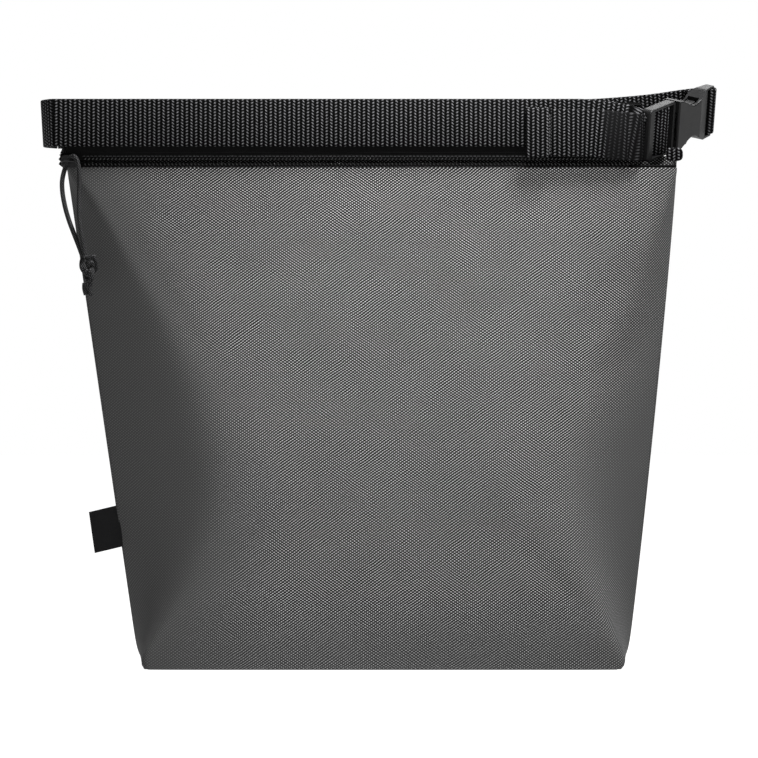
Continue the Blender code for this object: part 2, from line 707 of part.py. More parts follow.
def make_strap(webbing):
    """The strap: along the front, round the left end, along the back and round the buckle."""
    upright = Vector((0, 0, 1))
    front_end = HEM_START + HEM_LENGTH / 2
    front = [Vector((mix(TURN_X, front_end, n / 8), FRONT_WEB_Y, 0)) for n in range(9)]
    for point in front:
        point.z = droop(point.x)
    strap("front_webbing", [(point, upright) for point in front], webbing)

    middle = (FRONT_WEB_Y + BACK_WEB_Y) / 2
    reach = (BACK_WEB_Y - FRONT_WEB_Y) / 2
    turn = []
    for step in range(13):
        angle = math.pi * step / 12
        x = TURN_X - GAP - TURN_REACH * math.sin(angle)
        turn.append(Vector((x, middle - reach * math.cos(angle), WEB_Z)))
    strap("left_webbing_turn", [(point, upright) for point in turn], webbing)

    bar_x = SOCKET_END - SOCKET_BAR_RADIUS
    around = SOCKET_BAR_RADIUS + GAP + WEB_THICK / 2
    loop = []
    for degrees in range(72, -180, -25):
        angle = math.radians(degrees)
        loop.append(at_buckle(bar_x + around * math.cos(angle), around * math.sin(angle)))
    lifts = TOP_HALF / 3
    back = [Vector((mix(TURN_X, lifts, step / 3), BACK_WEB_Y, WEB_Z)) for step in range(4)]
    corner = Vector((TOP_HALF, BACK_WEB_Y, WEB_Z))
    back += [corner + Vector(point) / 1000 for point in BACK_SWEEP]
    away = (back[-1] - loop[0]).normalized()
    inward = BUCKLE_UP.cross(away) * RETURN_OFFSET
    sewn = [loop[0] + away * reach + inward for reach in SEWN_RETURN]
    back += [loop[0] + away * reach for reach in RUN_IN]
    loop.append(at_buckle(bar_x - around - GAP, around / 4))
    ups = [upright] * 6 + [mix(upright, BUCKLE_UP, 0.4), mix(upright, BUCKLE_UP, 0.8)]
    ups += [BUCKLE_UP] * (len(RUN_IN) + len(loop) + len(sewn))
    strap("back_webbing", stations_of(back + loop + sewn, ups), webbing)

    places = (front_end + SPLIT_GAP, REST_MIDDLE, REST_NEAR)
    rest = [Vector((x, FRONT_WEB_Y, droop(x))) for x in places]
    rest.append(Vector((REST_LAST, FRONT_WEB_Y + GAP, droop(REST_LAST))))
    behind = [at_buckle(x, MAIN_Y) for x in (-0.0028, 0.0015, 0.0070, 0.0125)]
    crest = []
    for degrees in range(75, -120, -30):
        angle = math.radians(degrees)
        x = CENTRE_BAR_AT + CENTRE_TURN * math.cos(angle)
        crest.append(at_buckle(x, CENTRE_TURN * math.sin(angle)))
    under = [at_buckle(0.0115, -0.0012), at_buckle(0.0075, TAIL_Y - GAP)]
    under += [at_buckle(0.0005, TAIL_Y), at_buckle(-0.0044, TAIL_Y - 2 * GAP)]
    free = [Vector((TAIL_FIRST, TAIL_WEB_Y + GAP, TAIL_Z))]
    places = (REST_NEAR, REST_MIDDLE, HEM_START + HEM_LENGTH + GAP)
    free += [Vector((x, TAIL_WEB_Y, TAIL_Z)) for x in places]
    ups = [upright] * 4 + [BUCKLE_UP] * (len(behind) + len(crest) + len(under)) + [upright] * 4
    strap("adjuster_webbing", stations_of(rest + behind + crest + under + free, ups), webbing)

    back_y = TAIL_WEB_Y + WEB_THICK / 2
    hem_half = WEB_WIDTH / 2 + HEM_EXTRA
    block(
        "webbing_hem", (HEM_START, back_y - HEM_THICK, TAIL_Z - hem_half),
        (HEM_START + HEM_LENGTH, back_y, TAIL_Z + hem_half), webbing, bevel=0.0005,
    )


def rounded_rectangle(left, right, half, radius, steps=4):
    """An outline with round corners, centred on the buckle's axis."""
    points = []
    for x, z, start in (
        (right - radius, half - radius, 0), (left + radius, half - radius, 90),
        (left + radius, radius - half, 180), (right - radius, radius - half, 270),
    ):
        for step in range(steps + 1):
            angle = math.radians(start + 90 * step / steps)
            points.append((x + radius * math.cos(angle), z + radius * math.sin(angle)))
    return points


def socket_half(x):
    """Half the socket's width along its length: a waist between its mouth and its bar."""
    span = WAIST_BEFORE if x < WAIST_AT else WAIST_AFTER
    share = min(abs(x - WAIST_AT) / span, 1)
    waist = WAIST_DEPTH * (0.5 + 0.5 * math.cos(math.pi * share))
    past = max(x - (SOCKET_END - SOCKET_ROUND), 0)
    corner = SOCKET_ROUND - math.sqrt(max(SOCKET_ROUND ** 2 - past ** 2, 0))
    return SOCKET_HALF - waist - corner


def round_bar(name, x, radius, finish):
    """A round strap bar between the side rails, at a place along the buckle's axis."""
    shape = bmesh.new()
    length = 2 * SLOT_HALF + 0.0008
    bmesh.ops.create_cone(
        shape, cap_ends=True, segments=20, radius1=radius, radius2=radius, depth=length,
        matrix=Matrix.Translation((x, 0, 0)),
    )
    return mesh_object(name, shape, finish)


def make_socket(plastic):
    """The socket: a moulded shell with a mouth, side windows, a waist and a strap bar."""
    start = FRAME_LENGTH + GAP
    half_thick = SOCKET_THICK / 2
    steps = 22
    xs = [mix(start, SOCKET_END - SOCKET_ROUND, step / steps) for step in range(steps + 1)]
    xs += [SOCKET_END - SOCKET_ROUND * (1 - share) for share in (0.4, 0.7, 0.9, 1.0)]
    outline = [(x, socket_half(x)) for x in xs] + [(x, -socket_half(x)) for x in xs[::-1]]
    socket = outline_solid("buckle_socket", outline, "xz", -half_thick, half_thick, plastic, bevel=0.0007)
    thin = SOCKET_BAR_RADIUS
    side = [
        (start - 0.001, half_thick), (WINDOW_END, half_thick), (SOCKET_SLOT_START, thin + 0.0006),
        (SOCKET_END - 0.001, thin), (SOCKET_END + 0.0001, thin - 0.001),
    ]
    side += [(x, -y) for x, y in side[::-1]]
    trim = outline_solid("socket_side", side, "xy", -0.02, 0.02, plastic)
    boolean(socket, trim, "INTERSECT")
    inside = half_thick - SOCKET_WALL
    deep = (start - 0.002, -inside, -MOUTH_HALF), (WINDOW_END, inside, MOUTH_HALF)
    boolean(socket, block("socket_cavity", *deep, plastic), "DIFFERENCE")
    window = (CATCH_AT - GAP, -inside, -0.02), (WINDOW_END, inside, 0.02)
    boolean(socket, block("socket_windows", *window, plastic), "DIFFERENCE")
    slot = (SOCKET_SLOT_START, -0.01, -SLOT_HALF), (SOCKET_END + 0.001, 0.01, SLOT_HALF)
    boolean(socket, block("socket_slot", *slot, plastic), "DIFFERENCE")
    bar = round_bar("socket_bar", SOCKET_END - SOCKET_BAR_RADIUS, SOCKET_BAR_RADIUS, plastic)
    boolean(socket, bar, "UNION")


def make_plug(plastic):
    """The plug: a strap adjuster with its free bar and centre bar, and the guide tongue."""
    half_thick = FRAME_THICK / 2
    outline = rounded_rectangle(0.0, FRAME_LENGTH, FRAME_HALF, 0.0022)
    plug = outline_solid("buckle_plug", outline, "xz", -half_thick, half_thick, plastic, bevel=0.0006)
    shoulder = FRAME_LENGTH - SHOULDER
    far = 0.01
    window = (END_BAR, -far, -SLOT_HALF), (shoulder, far, SLOT_HALF)
    boolean(plug, block("plug_window", *window, plastic), "DIFFERENCE")
    behind = TAIL_Y - WEB_THICK / 2 - GAP
    way = (-far, behind, -SLOT_HALF), (END_BAR + GAP, far, SLOT_HALF)
    boolean(plug, block("plug_strap_way", *way, plastic), "DIFFERENCE")
    boolean(plug, round_bar("plug_bar", CENTRE_BAR_AT, CENTRE_BAR_RADIUS, plastic), "UNION")
    tongue = rounded_rectangle(FRAME_LENGTH - SHOULDER / 2, TONGUE_END, TONGUE_HALF, 0.0018)
    thick = TONGUE_THICK / 2
    boolean(plug, outline_solid("plug_tongue", tongue, "xz", -thick, thick, plastic), "UNION")


def make_arms(plastic):
    """The two spring arms: a thin root, a thumb pad and the catch at the pad's foot."""
    root = FRAME_LENGTH + GAP
    profile = [(root, ARM_IN), (root, ARM_OUT), (CATCH_AT - 0.0010, MOUTH_HALF - 0.0004)]
    profile.append((CATCH_AT + GAP, MOUTH_HALF - 0.0004))
    for step in range(6):
        x = mix(CATCH_AT + GAP, ARM_TIP - 0.0016, step / 5)
        profile.append((x, socket_half(x) + PAD_PROUD))
    profile += [(ARM_TIP, ARM_OUT + 0.0008), (ARM_TIP, ARM_IN + 0.0016)]
    profile += [(CATCH_AT, ARM_IN + 0.0010)]
    half = ARM_THICK / 2
    for name, sign in (("latch_arm_upper", 1), ("latch_arm_lower", -1)):
        outline = [(x, sign * z) for x, z in profile]
        outline_solid(name, outline, "xz", -half, half, plastic, bevel=0.0004)


def make_buckle(plastic):
    """Places the buckle's pieces, which are made on its own axis."""
    frame = bpy.data.objects.new("buckle_axis", None)
    bpy.context.collection.objects.link(frame)
    before = set(bpy.data.objects)
    make_socket(plastic)
    make_plug(plastic)
    make_arms(plastic)
    for piece in set(bpy.data.objects) - before:
        piece.parent = frame
    frame.location = BUCKLE_AT
    frame.rotation_euler = BUCKLE_TURN


def make_label(black):
    """The folded cloth label in the left side seam, left bare."""
    low, high = LABEL_AT - LABEL_HEIGHT / 2, LABEL_AT + LABEL_HEIGHT / 2
    drop = LABEL_REACH * math.tan(LABEL_TILT)
    edge = [(middle_x(z) - seam_half(z) - LABEL_GAP, z) for z in (low, high)]
    outline = edge + [(x - LABEL_REACH, z - drop) for x, z in edge[::-1]]
    thick = LABEL_THICK / 2
    outline_solid("side_label", outline, "xz", -thick, thick, black, bevel=0.0003)


def main():
    clear_scene()
    grey_cloth = material("polyester oxford", (0.090, 0.089, 0.088), 0.85)
    foam = material("polyethylene foam", (0.80, 0.80, 0.78), 0.9)
    foil = material("foil film", (0.75, 0.76, 0.78), 0.3, 0.9)
    black_cloth = material("black polyester cloth", (0.012, 0.012, 0.012), 0.9)
    tape = material("zip tape", (0.010, 0.010, 0.010), 0.85)
    teeth = material("nylon coil", (0.015, 0.015, 0.016), 0.4)
    paint = material("painted zinc", (0.02, 0.02, 0.022), 0.35)
    webbing = material("polypropylene webbing", (0.020, 0.020, 0.021), 0.7)
    plastic = material("acetal", (0.032, 0.031, 0.032), 0.35)
    cord = material("braided cord", (0.012, 0.012, 0.012), 0.7)
    make_body(grey_cloth, foam, foil)
    make_zip(tape, teeth, black_cloth)
    make_slider(paint)
    make_pull(cord)
    make_collar(black_cloth)
    make_strap(webbing)
    make_buckle(plastic)
    make_label(black_cloth)


main()
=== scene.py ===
"""Dresses the insulated bag: grey cloth, black webbing, a moulded buckle, a zip and its pull cord.

Metres and +Z up, as in the frame. Cloth, foam and foil are lofted shells, and the strap, the
cord and the stitches follow the routes of the solids. Every pattern is in millimetres, on UVs
that are measured along the cloth or on the piece's own coordinates.
"""
import functools
import json
import math

import bpy
from mathutils import Euler, Matrix, Vector, noise
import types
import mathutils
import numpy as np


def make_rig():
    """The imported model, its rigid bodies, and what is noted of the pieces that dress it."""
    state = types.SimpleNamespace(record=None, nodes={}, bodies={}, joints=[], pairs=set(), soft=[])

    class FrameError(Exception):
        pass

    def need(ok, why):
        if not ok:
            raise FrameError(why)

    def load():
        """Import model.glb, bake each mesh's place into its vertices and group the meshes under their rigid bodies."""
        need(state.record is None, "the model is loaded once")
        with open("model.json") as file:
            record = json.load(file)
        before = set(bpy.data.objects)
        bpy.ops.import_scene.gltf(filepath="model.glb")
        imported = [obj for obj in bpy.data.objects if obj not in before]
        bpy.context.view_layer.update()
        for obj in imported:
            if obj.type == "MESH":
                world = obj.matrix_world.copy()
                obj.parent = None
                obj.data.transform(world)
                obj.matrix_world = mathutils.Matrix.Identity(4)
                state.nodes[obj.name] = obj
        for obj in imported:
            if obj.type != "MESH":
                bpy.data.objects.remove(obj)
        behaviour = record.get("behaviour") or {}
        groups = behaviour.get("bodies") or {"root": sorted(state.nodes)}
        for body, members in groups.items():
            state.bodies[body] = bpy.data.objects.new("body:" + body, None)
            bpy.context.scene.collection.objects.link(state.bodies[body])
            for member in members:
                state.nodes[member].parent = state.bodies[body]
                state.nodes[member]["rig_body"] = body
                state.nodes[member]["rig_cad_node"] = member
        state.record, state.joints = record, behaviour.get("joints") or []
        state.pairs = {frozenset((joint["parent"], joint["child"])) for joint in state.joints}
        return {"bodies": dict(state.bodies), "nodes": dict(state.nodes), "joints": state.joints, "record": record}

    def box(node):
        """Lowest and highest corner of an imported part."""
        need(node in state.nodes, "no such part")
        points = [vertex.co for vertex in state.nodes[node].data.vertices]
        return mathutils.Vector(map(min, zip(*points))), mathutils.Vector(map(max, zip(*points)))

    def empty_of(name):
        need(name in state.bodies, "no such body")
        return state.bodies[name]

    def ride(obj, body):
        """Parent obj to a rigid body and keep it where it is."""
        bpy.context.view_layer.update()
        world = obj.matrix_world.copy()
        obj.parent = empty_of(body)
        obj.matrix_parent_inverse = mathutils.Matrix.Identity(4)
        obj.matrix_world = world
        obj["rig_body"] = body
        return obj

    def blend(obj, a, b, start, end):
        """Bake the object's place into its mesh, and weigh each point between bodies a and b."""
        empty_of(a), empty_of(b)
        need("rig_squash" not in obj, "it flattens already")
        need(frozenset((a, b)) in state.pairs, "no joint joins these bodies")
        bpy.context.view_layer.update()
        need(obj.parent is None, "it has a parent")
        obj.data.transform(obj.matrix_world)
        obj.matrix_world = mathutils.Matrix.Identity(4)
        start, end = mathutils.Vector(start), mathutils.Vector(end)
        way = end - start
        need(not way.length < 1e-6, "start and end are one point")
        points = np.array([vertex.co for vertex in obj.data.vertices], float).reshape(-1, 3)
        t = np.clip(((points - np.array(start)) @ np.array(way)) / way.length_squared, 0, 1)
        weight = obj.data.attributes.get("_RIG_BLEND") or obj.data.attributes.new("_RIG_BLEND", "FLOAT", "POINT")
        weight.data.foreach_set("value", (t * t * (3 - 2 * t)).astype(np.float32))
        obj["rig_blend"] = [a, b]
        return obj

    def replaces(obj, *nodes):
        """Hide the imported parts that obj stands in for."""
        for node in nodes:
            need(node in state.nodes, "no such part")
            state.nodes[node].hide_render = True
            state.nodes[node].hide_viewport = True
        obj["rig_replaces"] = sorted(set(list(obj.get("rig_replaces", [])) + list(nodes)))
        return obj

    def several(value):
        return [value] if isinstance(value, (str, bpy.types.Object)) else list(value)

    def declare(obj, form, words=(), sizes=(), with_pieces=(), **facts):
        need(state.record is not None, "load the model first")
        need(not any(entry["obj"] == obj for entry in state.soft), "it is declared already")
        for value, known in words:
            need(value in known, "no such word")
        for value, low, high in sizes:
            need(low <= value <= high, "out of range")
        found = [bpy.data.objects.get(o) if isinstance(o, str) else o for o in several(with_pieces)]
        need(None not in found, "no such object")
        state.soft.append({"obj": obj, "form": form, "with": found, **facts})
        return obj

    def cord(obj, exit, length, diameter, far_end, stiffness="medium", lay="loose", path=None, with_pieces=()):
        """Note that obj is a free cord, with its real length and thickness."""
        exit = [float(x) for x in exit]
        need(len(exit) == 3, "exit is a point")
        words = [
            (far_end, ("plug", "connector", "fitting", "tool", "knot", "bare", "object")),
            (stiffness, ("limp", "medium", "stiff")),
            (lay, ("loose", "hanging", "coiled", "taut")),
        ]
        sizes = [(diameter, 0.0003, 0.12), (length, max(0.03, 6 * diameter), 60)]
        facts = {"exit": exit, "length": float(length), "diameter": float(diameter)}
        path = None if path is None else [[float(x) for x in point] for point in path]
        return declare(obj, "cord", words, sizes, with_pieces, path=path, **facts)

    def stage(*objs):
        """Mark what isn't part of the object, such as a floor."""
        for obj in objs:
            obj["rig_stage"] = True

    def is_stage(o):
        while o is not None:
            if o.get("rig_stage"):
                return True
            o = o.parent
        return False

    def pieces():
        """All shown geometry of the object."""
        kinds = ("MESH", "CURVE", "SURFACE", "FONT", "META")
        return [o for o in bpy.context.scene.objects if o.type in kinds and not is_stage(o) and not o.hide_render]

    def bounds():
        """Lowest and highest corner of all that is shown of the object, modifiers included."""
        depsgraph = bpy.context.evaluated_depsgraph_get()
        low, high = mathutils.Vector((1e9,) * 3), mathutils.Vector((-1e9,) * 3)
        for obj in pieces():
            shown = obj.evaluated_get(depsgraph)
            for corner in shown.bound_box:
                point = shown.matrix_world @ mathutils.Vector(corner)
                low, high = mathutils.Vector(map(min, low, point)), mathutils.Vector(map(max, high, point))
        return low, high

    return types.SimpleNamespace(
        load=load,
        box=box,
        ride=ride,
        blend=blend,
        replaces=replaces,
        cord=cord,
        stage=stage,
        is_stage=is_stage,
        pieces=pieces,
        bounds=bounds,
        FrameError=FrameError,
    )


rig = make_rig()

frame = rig.load()
MM = 0.001
UPRIGHT = Vector((0, 0, 1))

# Body: its main sizes, as in the part's source
TOP_WIDTH = 0.3062
TOP_HALF = TOP_WIDTH / 2
BASE_WIDTH = 0.2350
BASE_DEPTH = 0.0800
MOUTH_DEPTH = 0.0180
FRONT_HEIGHT = 0.2495
BACK_RISE = 0.0066
LEAN = 0.0055
SIDE_BULGE = 0.0009
GAP = 0.0003

# Body: the cloth's own form, a little rounder than the solids
FRONT_BELLY = 0.0028
SIDE_SPREAD = 0.0050
SPREAD_RISE = 0.0035
FOLD_RISE = 0.74
FOLD_POWER = 1.6
LEFT_FOLD, LEFT_FOLD_TOP = 0.0520, 0.95
RIGHT_FOLD, RIGHT_FOLD_TOP = 0.0400, 1.35
SHARP_CREASE, SOFT_CREASE = 0.0025, 0.0150
SOFT_STEPS = 4

# Folds that pull in from the wall's edge: x and z of the start, slope, width and depth in mm
PULLS = (
    (-0.140, 0.235, -1.5, 0.010, 0.8), (0.140, 0.215, 1.1, 0.012, 1.0),
    (0.146, 0.170, 0.6, 0.010, 0.6), (-0.112, 0.020, 0.9, 0.009, 1.1),
    (0.112, 0.020, -0.9, 0.009, 1.1),
)
PULL_FROM, PULL_LENGTH = 0.020, 0.030

# Where the walls are taut: how far past a crease, and over what width that fades. On the left
# it ends at a height, and on the right it swells at one. Sides and foot are slack by a share.
LEFT_TAUT, LEFT_FADE, LEFT_TAUT_TOP = 0.019, 0.064, 0.26
RIGHT_TAUT, RIGHT_FADE = 0.026, 0.046
RIGHT_SWELL, SWELL_AT, SWELL_REACH = 0.014, 0.15, 0.04
SLACK_SIDE, SLACK_FOOT, FOOT_RISE = 0.12, 0.55, 0.045

# Layers of the wall: thickness, depth behind the cloth's face, and the drop from mouth to rim
CLOTH = 0.0008
FOAM, FOAM_AT, FOAM_MARGIN = 0.0040, 0.0026, 0.0065
FOIL, FOIL_AT, FOIL_MARGIN = 0.0004, 0.0060, 0.0010

# Zip
MIDDLE_Z = FRONT_HEIGHT + 0.0030
CHAIN_START = -0.1495
CHAIN_END = 0.1235
CHAIN_SPLIT = 0.0014
CHAIN_HEIGHT = 0.0040
TOOTH_PITCH = 0.0019
TOOTH_RADIUS = 0.00052
TOOTH_DEPTH = 0.0011
TOOTH_TILT = math.radians(24)
END_MARGIN = 0.0006
TAPE_FRONT = -0.00765
SLIDER_PARK = -0.1565
BAIL_AT = Vector((SLIDER_PARK, -0.01455, MIDDLE_Z))

# Collar
COLLAR_LEFT = -0.1620
COLLAR_RIGHT = 0.1300
COLLAR_SLANT = 0.62
COLLAR_BOTTOM = FRONT_HEIGHT + 0.0075
COLLAR_TOP = FRONT_HEIGHT + 0.0332
COLLAR_HALF_DEPTH = 0.0092
COLLAR_CLOTH = 0.0010
COLLAR_GIRTH = 0.056
COLLAR_WAVE = 0.0004

# Strap
WEB_WIDTH = 0.0238
WEB_THICK = 0.0014
WEB_Z = FRONT_HEIGHT + 0.0104 + WEB_WIDTH / 2
FRONT_WEB_Y = -(COLLAR_HALF_DEPTH + 0.0018 + WEB_THICK / 2)
BACK_WEB_Y = COLLAR_HALF_DEPTH + GAP + WEB_THICK / 2
TAIL_WEB_Y = FRONT_WEB_Y - WEB_THICK - GAP
TURN_X = -0.1642
TURN_REACH = 0.0060
TURN_LEAN = Vector((-0.060, 0, 1)).normalized()
DROOP_START = TOP_HALF - 0.0560
DROOP_LENGTH = 0.0480
DROOP_LIFT = 0.0012
FRONT_END = 0.1165
BEND_START, BEND_END = 0.020, 0.118
SEWN_RETURN = (0.0038, 0.0062, 0.0090, 0.0140)
RETURN_OFFSET = 0.0022
RUN_IN = (0.0080, 0.0030)

# Where the adjuster has worn the tail dull, and from where on it is worn less
WORN_START, WORN_FADE_IN = 0.1090, 0.0035
WORN_END, WORN_FADE_OUT = 0.1300, 0.0030
WORN_LESS_START, WORN_LESS = 0.1185, 0.75

# The hem at the strap's free end
HEM_START = 0.0718
HEM_LENGTH = 0.0125
HEM_EXTRA = 0.0012
HEM_THICK = 0.0029
HEM_SWELL = 0.0002
HEM_LEAN = 0.006
HEM_STITCH_IN = 0.0008

# The strap behind the bag, from the mouth's right corner, in millimetres
BACK_SWEEP = (
    (-73.1, 3.0, 0.8), (-43.2, 11.1, 2.2), (-17.4, 19.7, 4.9), (-0.7, 26.2, 8.0),
)

# Buckle, in its own frame: x from the plug's free bar to the socket's bar, y back, z up
BUCKLE_AT = Vector((TOP_HALF - 0.0220, -0.0098, FRONT_HEIGHT + 0.0156))
BUCKLE_TURN = Euler((math.radians(13), math.radians(-14.5), math.radians(55.5)))
BUCKLE_MATRIX = Matrix.Translation(BUCKLE_AT) @ BUCKLE_TURN.to_matrix().to_4x4()
BUCKLE_UP = BUCKLE_TURN.to_matrix() @ UPRIGHT
CENTRE_BAR_AT = 0.0170
CENTRE_BAR_RADIUS = 0.0016
SOCKET_END = 0.0668
SOCKET_BAR_RADIUS = 0.0021
CENTRE_TURN = CENTRE_BAR_RADIUS + GAP + WEB_THICK / 2
MAIN_Y = CENTRE_TURN + 0.0001
TAIL_Y = MAIN_Y - WEB_THICK - GAP - 0.0001
TAIL_Z = BUCKLE_AT.z + 0.0016
TAIL_SAG, SAG_START, SAG_LENGTH = 0.0019, 0.100, 0.026

# Pull cord
CORD = 0.0024
KNOT_HANG = Vector((0.0103, -0.00665, -0.0542))

# Its route from the bail's bar, in millimetres, as in the part's source
LEFT_STRAND = (
    (-0.8, 2.30, -0.8), (-2.0, 2.05, -3.2), (-3.0, 1.15, -6.8),
    (-3.5, -0.25, -11.0), (-3.1, -1.65, -16.5), (-1.7, -3.05, -23.4),
    (0.3, -4.25, -30.0), (2.9, -5.15, -36.8), (5.2, -5.75, -42.6),
    (6.9, -6.00, -47.3),
)
RIGHT_STRAND = (
    (-0.3, 2.30, 0.4), (0.4, 1.80, 1.6), (1.4, 0.65, 2.2),
    (2.5, -0.75, 2.2), (3.6, -1.95, 1.1), (4.5, -2.55, -1.1),
    (5.1, -2.75, -4.8), (5.4, -3.05, -10.5), (5.3, -3.65, -16.5),
    (5.3, -4.75, -23.0), (5.7, -6.15, -29.5), (6.5, -7.55, -36.0),
    (7.6, -8.35, -42.0), (8.6, -8.60, -47.1),
)
TAILS = (
    ((8.2, -6.25, -61.1), (8.1, -6.35, -63.8), (8.9, -6.45, -67.0)),
    ((11.1, -6.85, -61.1), (10.7, -6.95, -64.0), (11.5, -7.05, -67.4)),
)

# The knot's curve in millimetres: its scale in x, y and z, how much its top is drawn up, and
# each wrap's size and place in y
KNOT_WIDE, KNOT_DEEP, KNOT_TALL = 1.12, 1.55, 1.70
KNOT_DRAWN_UP = 0.16
KNOT_WRAPS = ((1.16, 0.0), (0.62, -0.6))
KNOT_STEPS = 96

# Side label
LABEL_HEIGHT = 0.0206
LABEL_REACH = 0.0138
LABEL_AT = 0.0699
LABEL_TILT = math.radians(14)
LABEL_TAPE = 0.0010

# Camera: a level view from the front, with half a millimetre to each pixel at the strap
CAMERA_AT = Vector((-0.00175, -2.2, 0.1436))
PICTURE = 758
PIXELS_PER_METRE = 2000.0
SENSOR = 36.0

# Yarn and rib spacing of each cloth, along and across it, in millimetres. The picture has half a
# millimetre to a pixel, so real yarns, 0.2 to 0.6 mm apart, are too fine to show. They are drawn
# coarser, as in the photograph or just enough to be seen. Ribs and braid have their real spacing.
OXFORD_YARNS = (1.98, 1.41)
COLLAR_YARNS = (1.2, 1.0)
TAPE_YARNS = (0.8, 0.7)
LABEL_YARNS = (0.5, 0.5)
WEBBING_RIB, WEBBING_FLOAT = 2.33, 1.57
BRAID_STEP, BRAID_STRAND = 2.992, 1.887
FOIL_DIAMOND = 22.0


def mix(a, b, share):
    return a + (b - a) * share


def ease(share):
    share = min(max(share, 0.0), 1.0)
    return share * share * (3 - 2 * share)


# Materials

def hex_colour(code):
    """A colour as it is seen on a screen, made linear."""
    parts = [int(code[place:place + 2], 16) / 255 for place in (0, 2, 4)]
    linear = [part / 12.92 if part <= 0.04045 else ((part + 0.055) / 1.055) ** 2.4 for part in parts]
    return (*linear, 1.0)


def add_node(tree, kind, sockets=(), output=0, **settings):
    """Adds a node with its settings, gives each socket a number or a link, and returns an output."""
    node = tree.nodes.new("ShaderNode" + kind)
    for name, value in settings.items():
        setattr(node, name, value)
    given = sockets.items() if isinstance(sockets, dict) else enumerate(sockets)
    for place, value in given:
        if isinstance(value, bpy.types.NodeSocket):
            tree.links.new(value, node.inputs[place])
        else:
            node.inputs[place].default_value = value
    return node.outputs[output] if node.outputs else None


def start_material(name):
    """A material without nodes, and add_node tied to it."""
    made = bpy.data.materials.new(name)
    made.use_nodes = True
    made.node_tree.nodes.clear()
    return made, functools.partial(add_node, made.node_tree)


def in_millimetres(add, source):
    """A piece's UV or Object coordinates, in millimetres."""
    metres = add("TexCoord", output=source)
    return add("VectorMath", (metres, (1 / MM, 1 / MM, 1 / MM)), operation="MULTIPLY")


def on_cloth(add):
    """A place on a cloth in millimetres, and its distances along and across the cloth."""
    place = in_millimetres(add, "UV")
    return place, add("SeparateXYZ", (place,), 0), add("SeparateXYZ", (place,), 1)


def surface(made, add, share, dark, light, roughness, height, strength, distance, specular=0.5, **extra):
    """Ends a material: two colours mixed by a share, the bump, the shader and the output."""
    colour = add("Mix", {0: share, 6: hex_colour(dark), 7: hex_colour(light)}, 2, data_type="RGBA")
    bumped = add("Bump", {"Strength": strength, "Distance": distance, "Height": height})
    sockets = {"Base Color": colour, "Roughness": roughness, "Normal": bumped, "Specular IOR Level": specular}
    sockets.update({name.replace("_", " "): value for name, value in extra.items()})
    add("OutputMaterial", {"Surface": add("BsdfPrincipled", sockets)})
    return made


def plain_weave(name, gap, yarn, spacing, depth=0.00012, roughness=0.8, slack=None):
    """Plain weave of shiny yarns on dark gaps, with slubs, faint clouds and a wandering slant.

    Slack is how bright the yarns stay where a wall's "taut" attribute is low, as beside its
    folds, where they lie flat and dull.
    """
    made, add = start_material(name)
    place, along, across = on_cloth(add)

    # Yarns wander by about half their spacing, over some 10 mm
    turns = []
    for way, step, scale, reach in ((along, spacing[0], 0.11, 0.5), (across, spacing[1], 0.09, 0.6)):
        wander = add("TexNoise", {"Vector": place, "Scale": scale, "Detail": 3.0})
        way = add("Math", (wander, step * reach, way), operation="MULTIPLY_ADD")
        turns.append(add("Math", (way, 2 * math.pi / step), operation="MULTIPLY"))
    warp, weft = turns
    rising = add("Math", (add("Math", (weft, warp), operation="SUBTRACT"),), operation="SINE")
    falling = add("Math", (add("Math", (weft, warp), operation="ADD"),), operation="SINE")

    # The slant is the share of rising rows, which drifts over some 30 mm and leaves neither out
    slant = add("TexNoise", {"Vector": place, "Scale": 0.035})
    slant = add("Math", (slant, 1.5, -0.13), operation="MULTIPLY_ADD")
    slant = add("Math", (add("Math", (slant, 0.22), operation="MAXIMUM"), 0.78), operation="MINIMUM")
    rest = add("Math", (1.0, slant), operation="SUBTRACT")
    pattern = add("Math", (rising, slant), operation="MULTIPLY")
    pattern = add("Math", (falling, rest, pattern), operation="MULTIPLY_ADD")
    raised = add("Math", (pattern, 0.5, 0.5), operation="MULTIPLY_ADD")
    raised = add("Math", (raised, 0.0), operation="MAXIMUM")

    # Rows of one slant alone would look brighter, so they are toned down
    uneven = add("Math", (add("Math", (slant, 0.5), operation="SUBTRACT"),), operation="ABSOLUTE")
    uneven = add("Math", (uneven, 2.0), operation="POWER")
    toned = add("Math", (uneven, -2.5, 1.0), operation="MULTIPLY_ADD")

    # Slubs are thick places in a yarn, about 1 mm long, and clouds are 50 mm across
    slub = add("TexNoise", {"Vector": place, "Scale": 0.9, "Detail": 4.0, "Roughness": 0.7})
    cloud = add("TexNoise", {"Vector": place, "Scale": 0.02})
    cloudy = add("Math", (cloud, 0.3, 0.85), operation="MULTIPLY_ADD")
    glint = add("Math", (raised, 5.0), operation="POWER")
    share = add("Math", (glint, add("Math", (slub, 0.5), operation="ADD")), operation="MULTIPLY")
    share = add("Math", (share, toned), operation="MULTIPLY")
    share = add("Math", (share, cloudy), operation="MULTIPLY")
    if slack is not None:
        taut = add("Attribute", output="Fac", attribute_name="taut")
        brighter = add("Math", (share, slack), operation="SUBTRACT")
        share = add("Math", (taut, brighter, slack), operation="MULTIPLY_ADD")
        raised = add("Math", (raised, taut), operation="MULTIPLY")
    rough = add("Math", (slub, 0.15, roughness - 0.07), operation="MULTIPLY_ADD")
    return surface(made, add, share, gap, yarn, rough, raised, 0.5, depth, specular=0.12)


def woven_grey_oxford():
    """Coated polyester oxford: grey yarns glint on gaps that are nearly black."""
    return plain_weave("woven grey oxford", "020202", "cdcdcd", OXFORD_YARNS, slack=0.072)


def woven_collar_cloth():
    """Black polyester cloth: so dark and close that only its folds show."""
    return plain_weave("woven black collar cloth", "010101", "0e0e0f", COLLAR_YARNS)


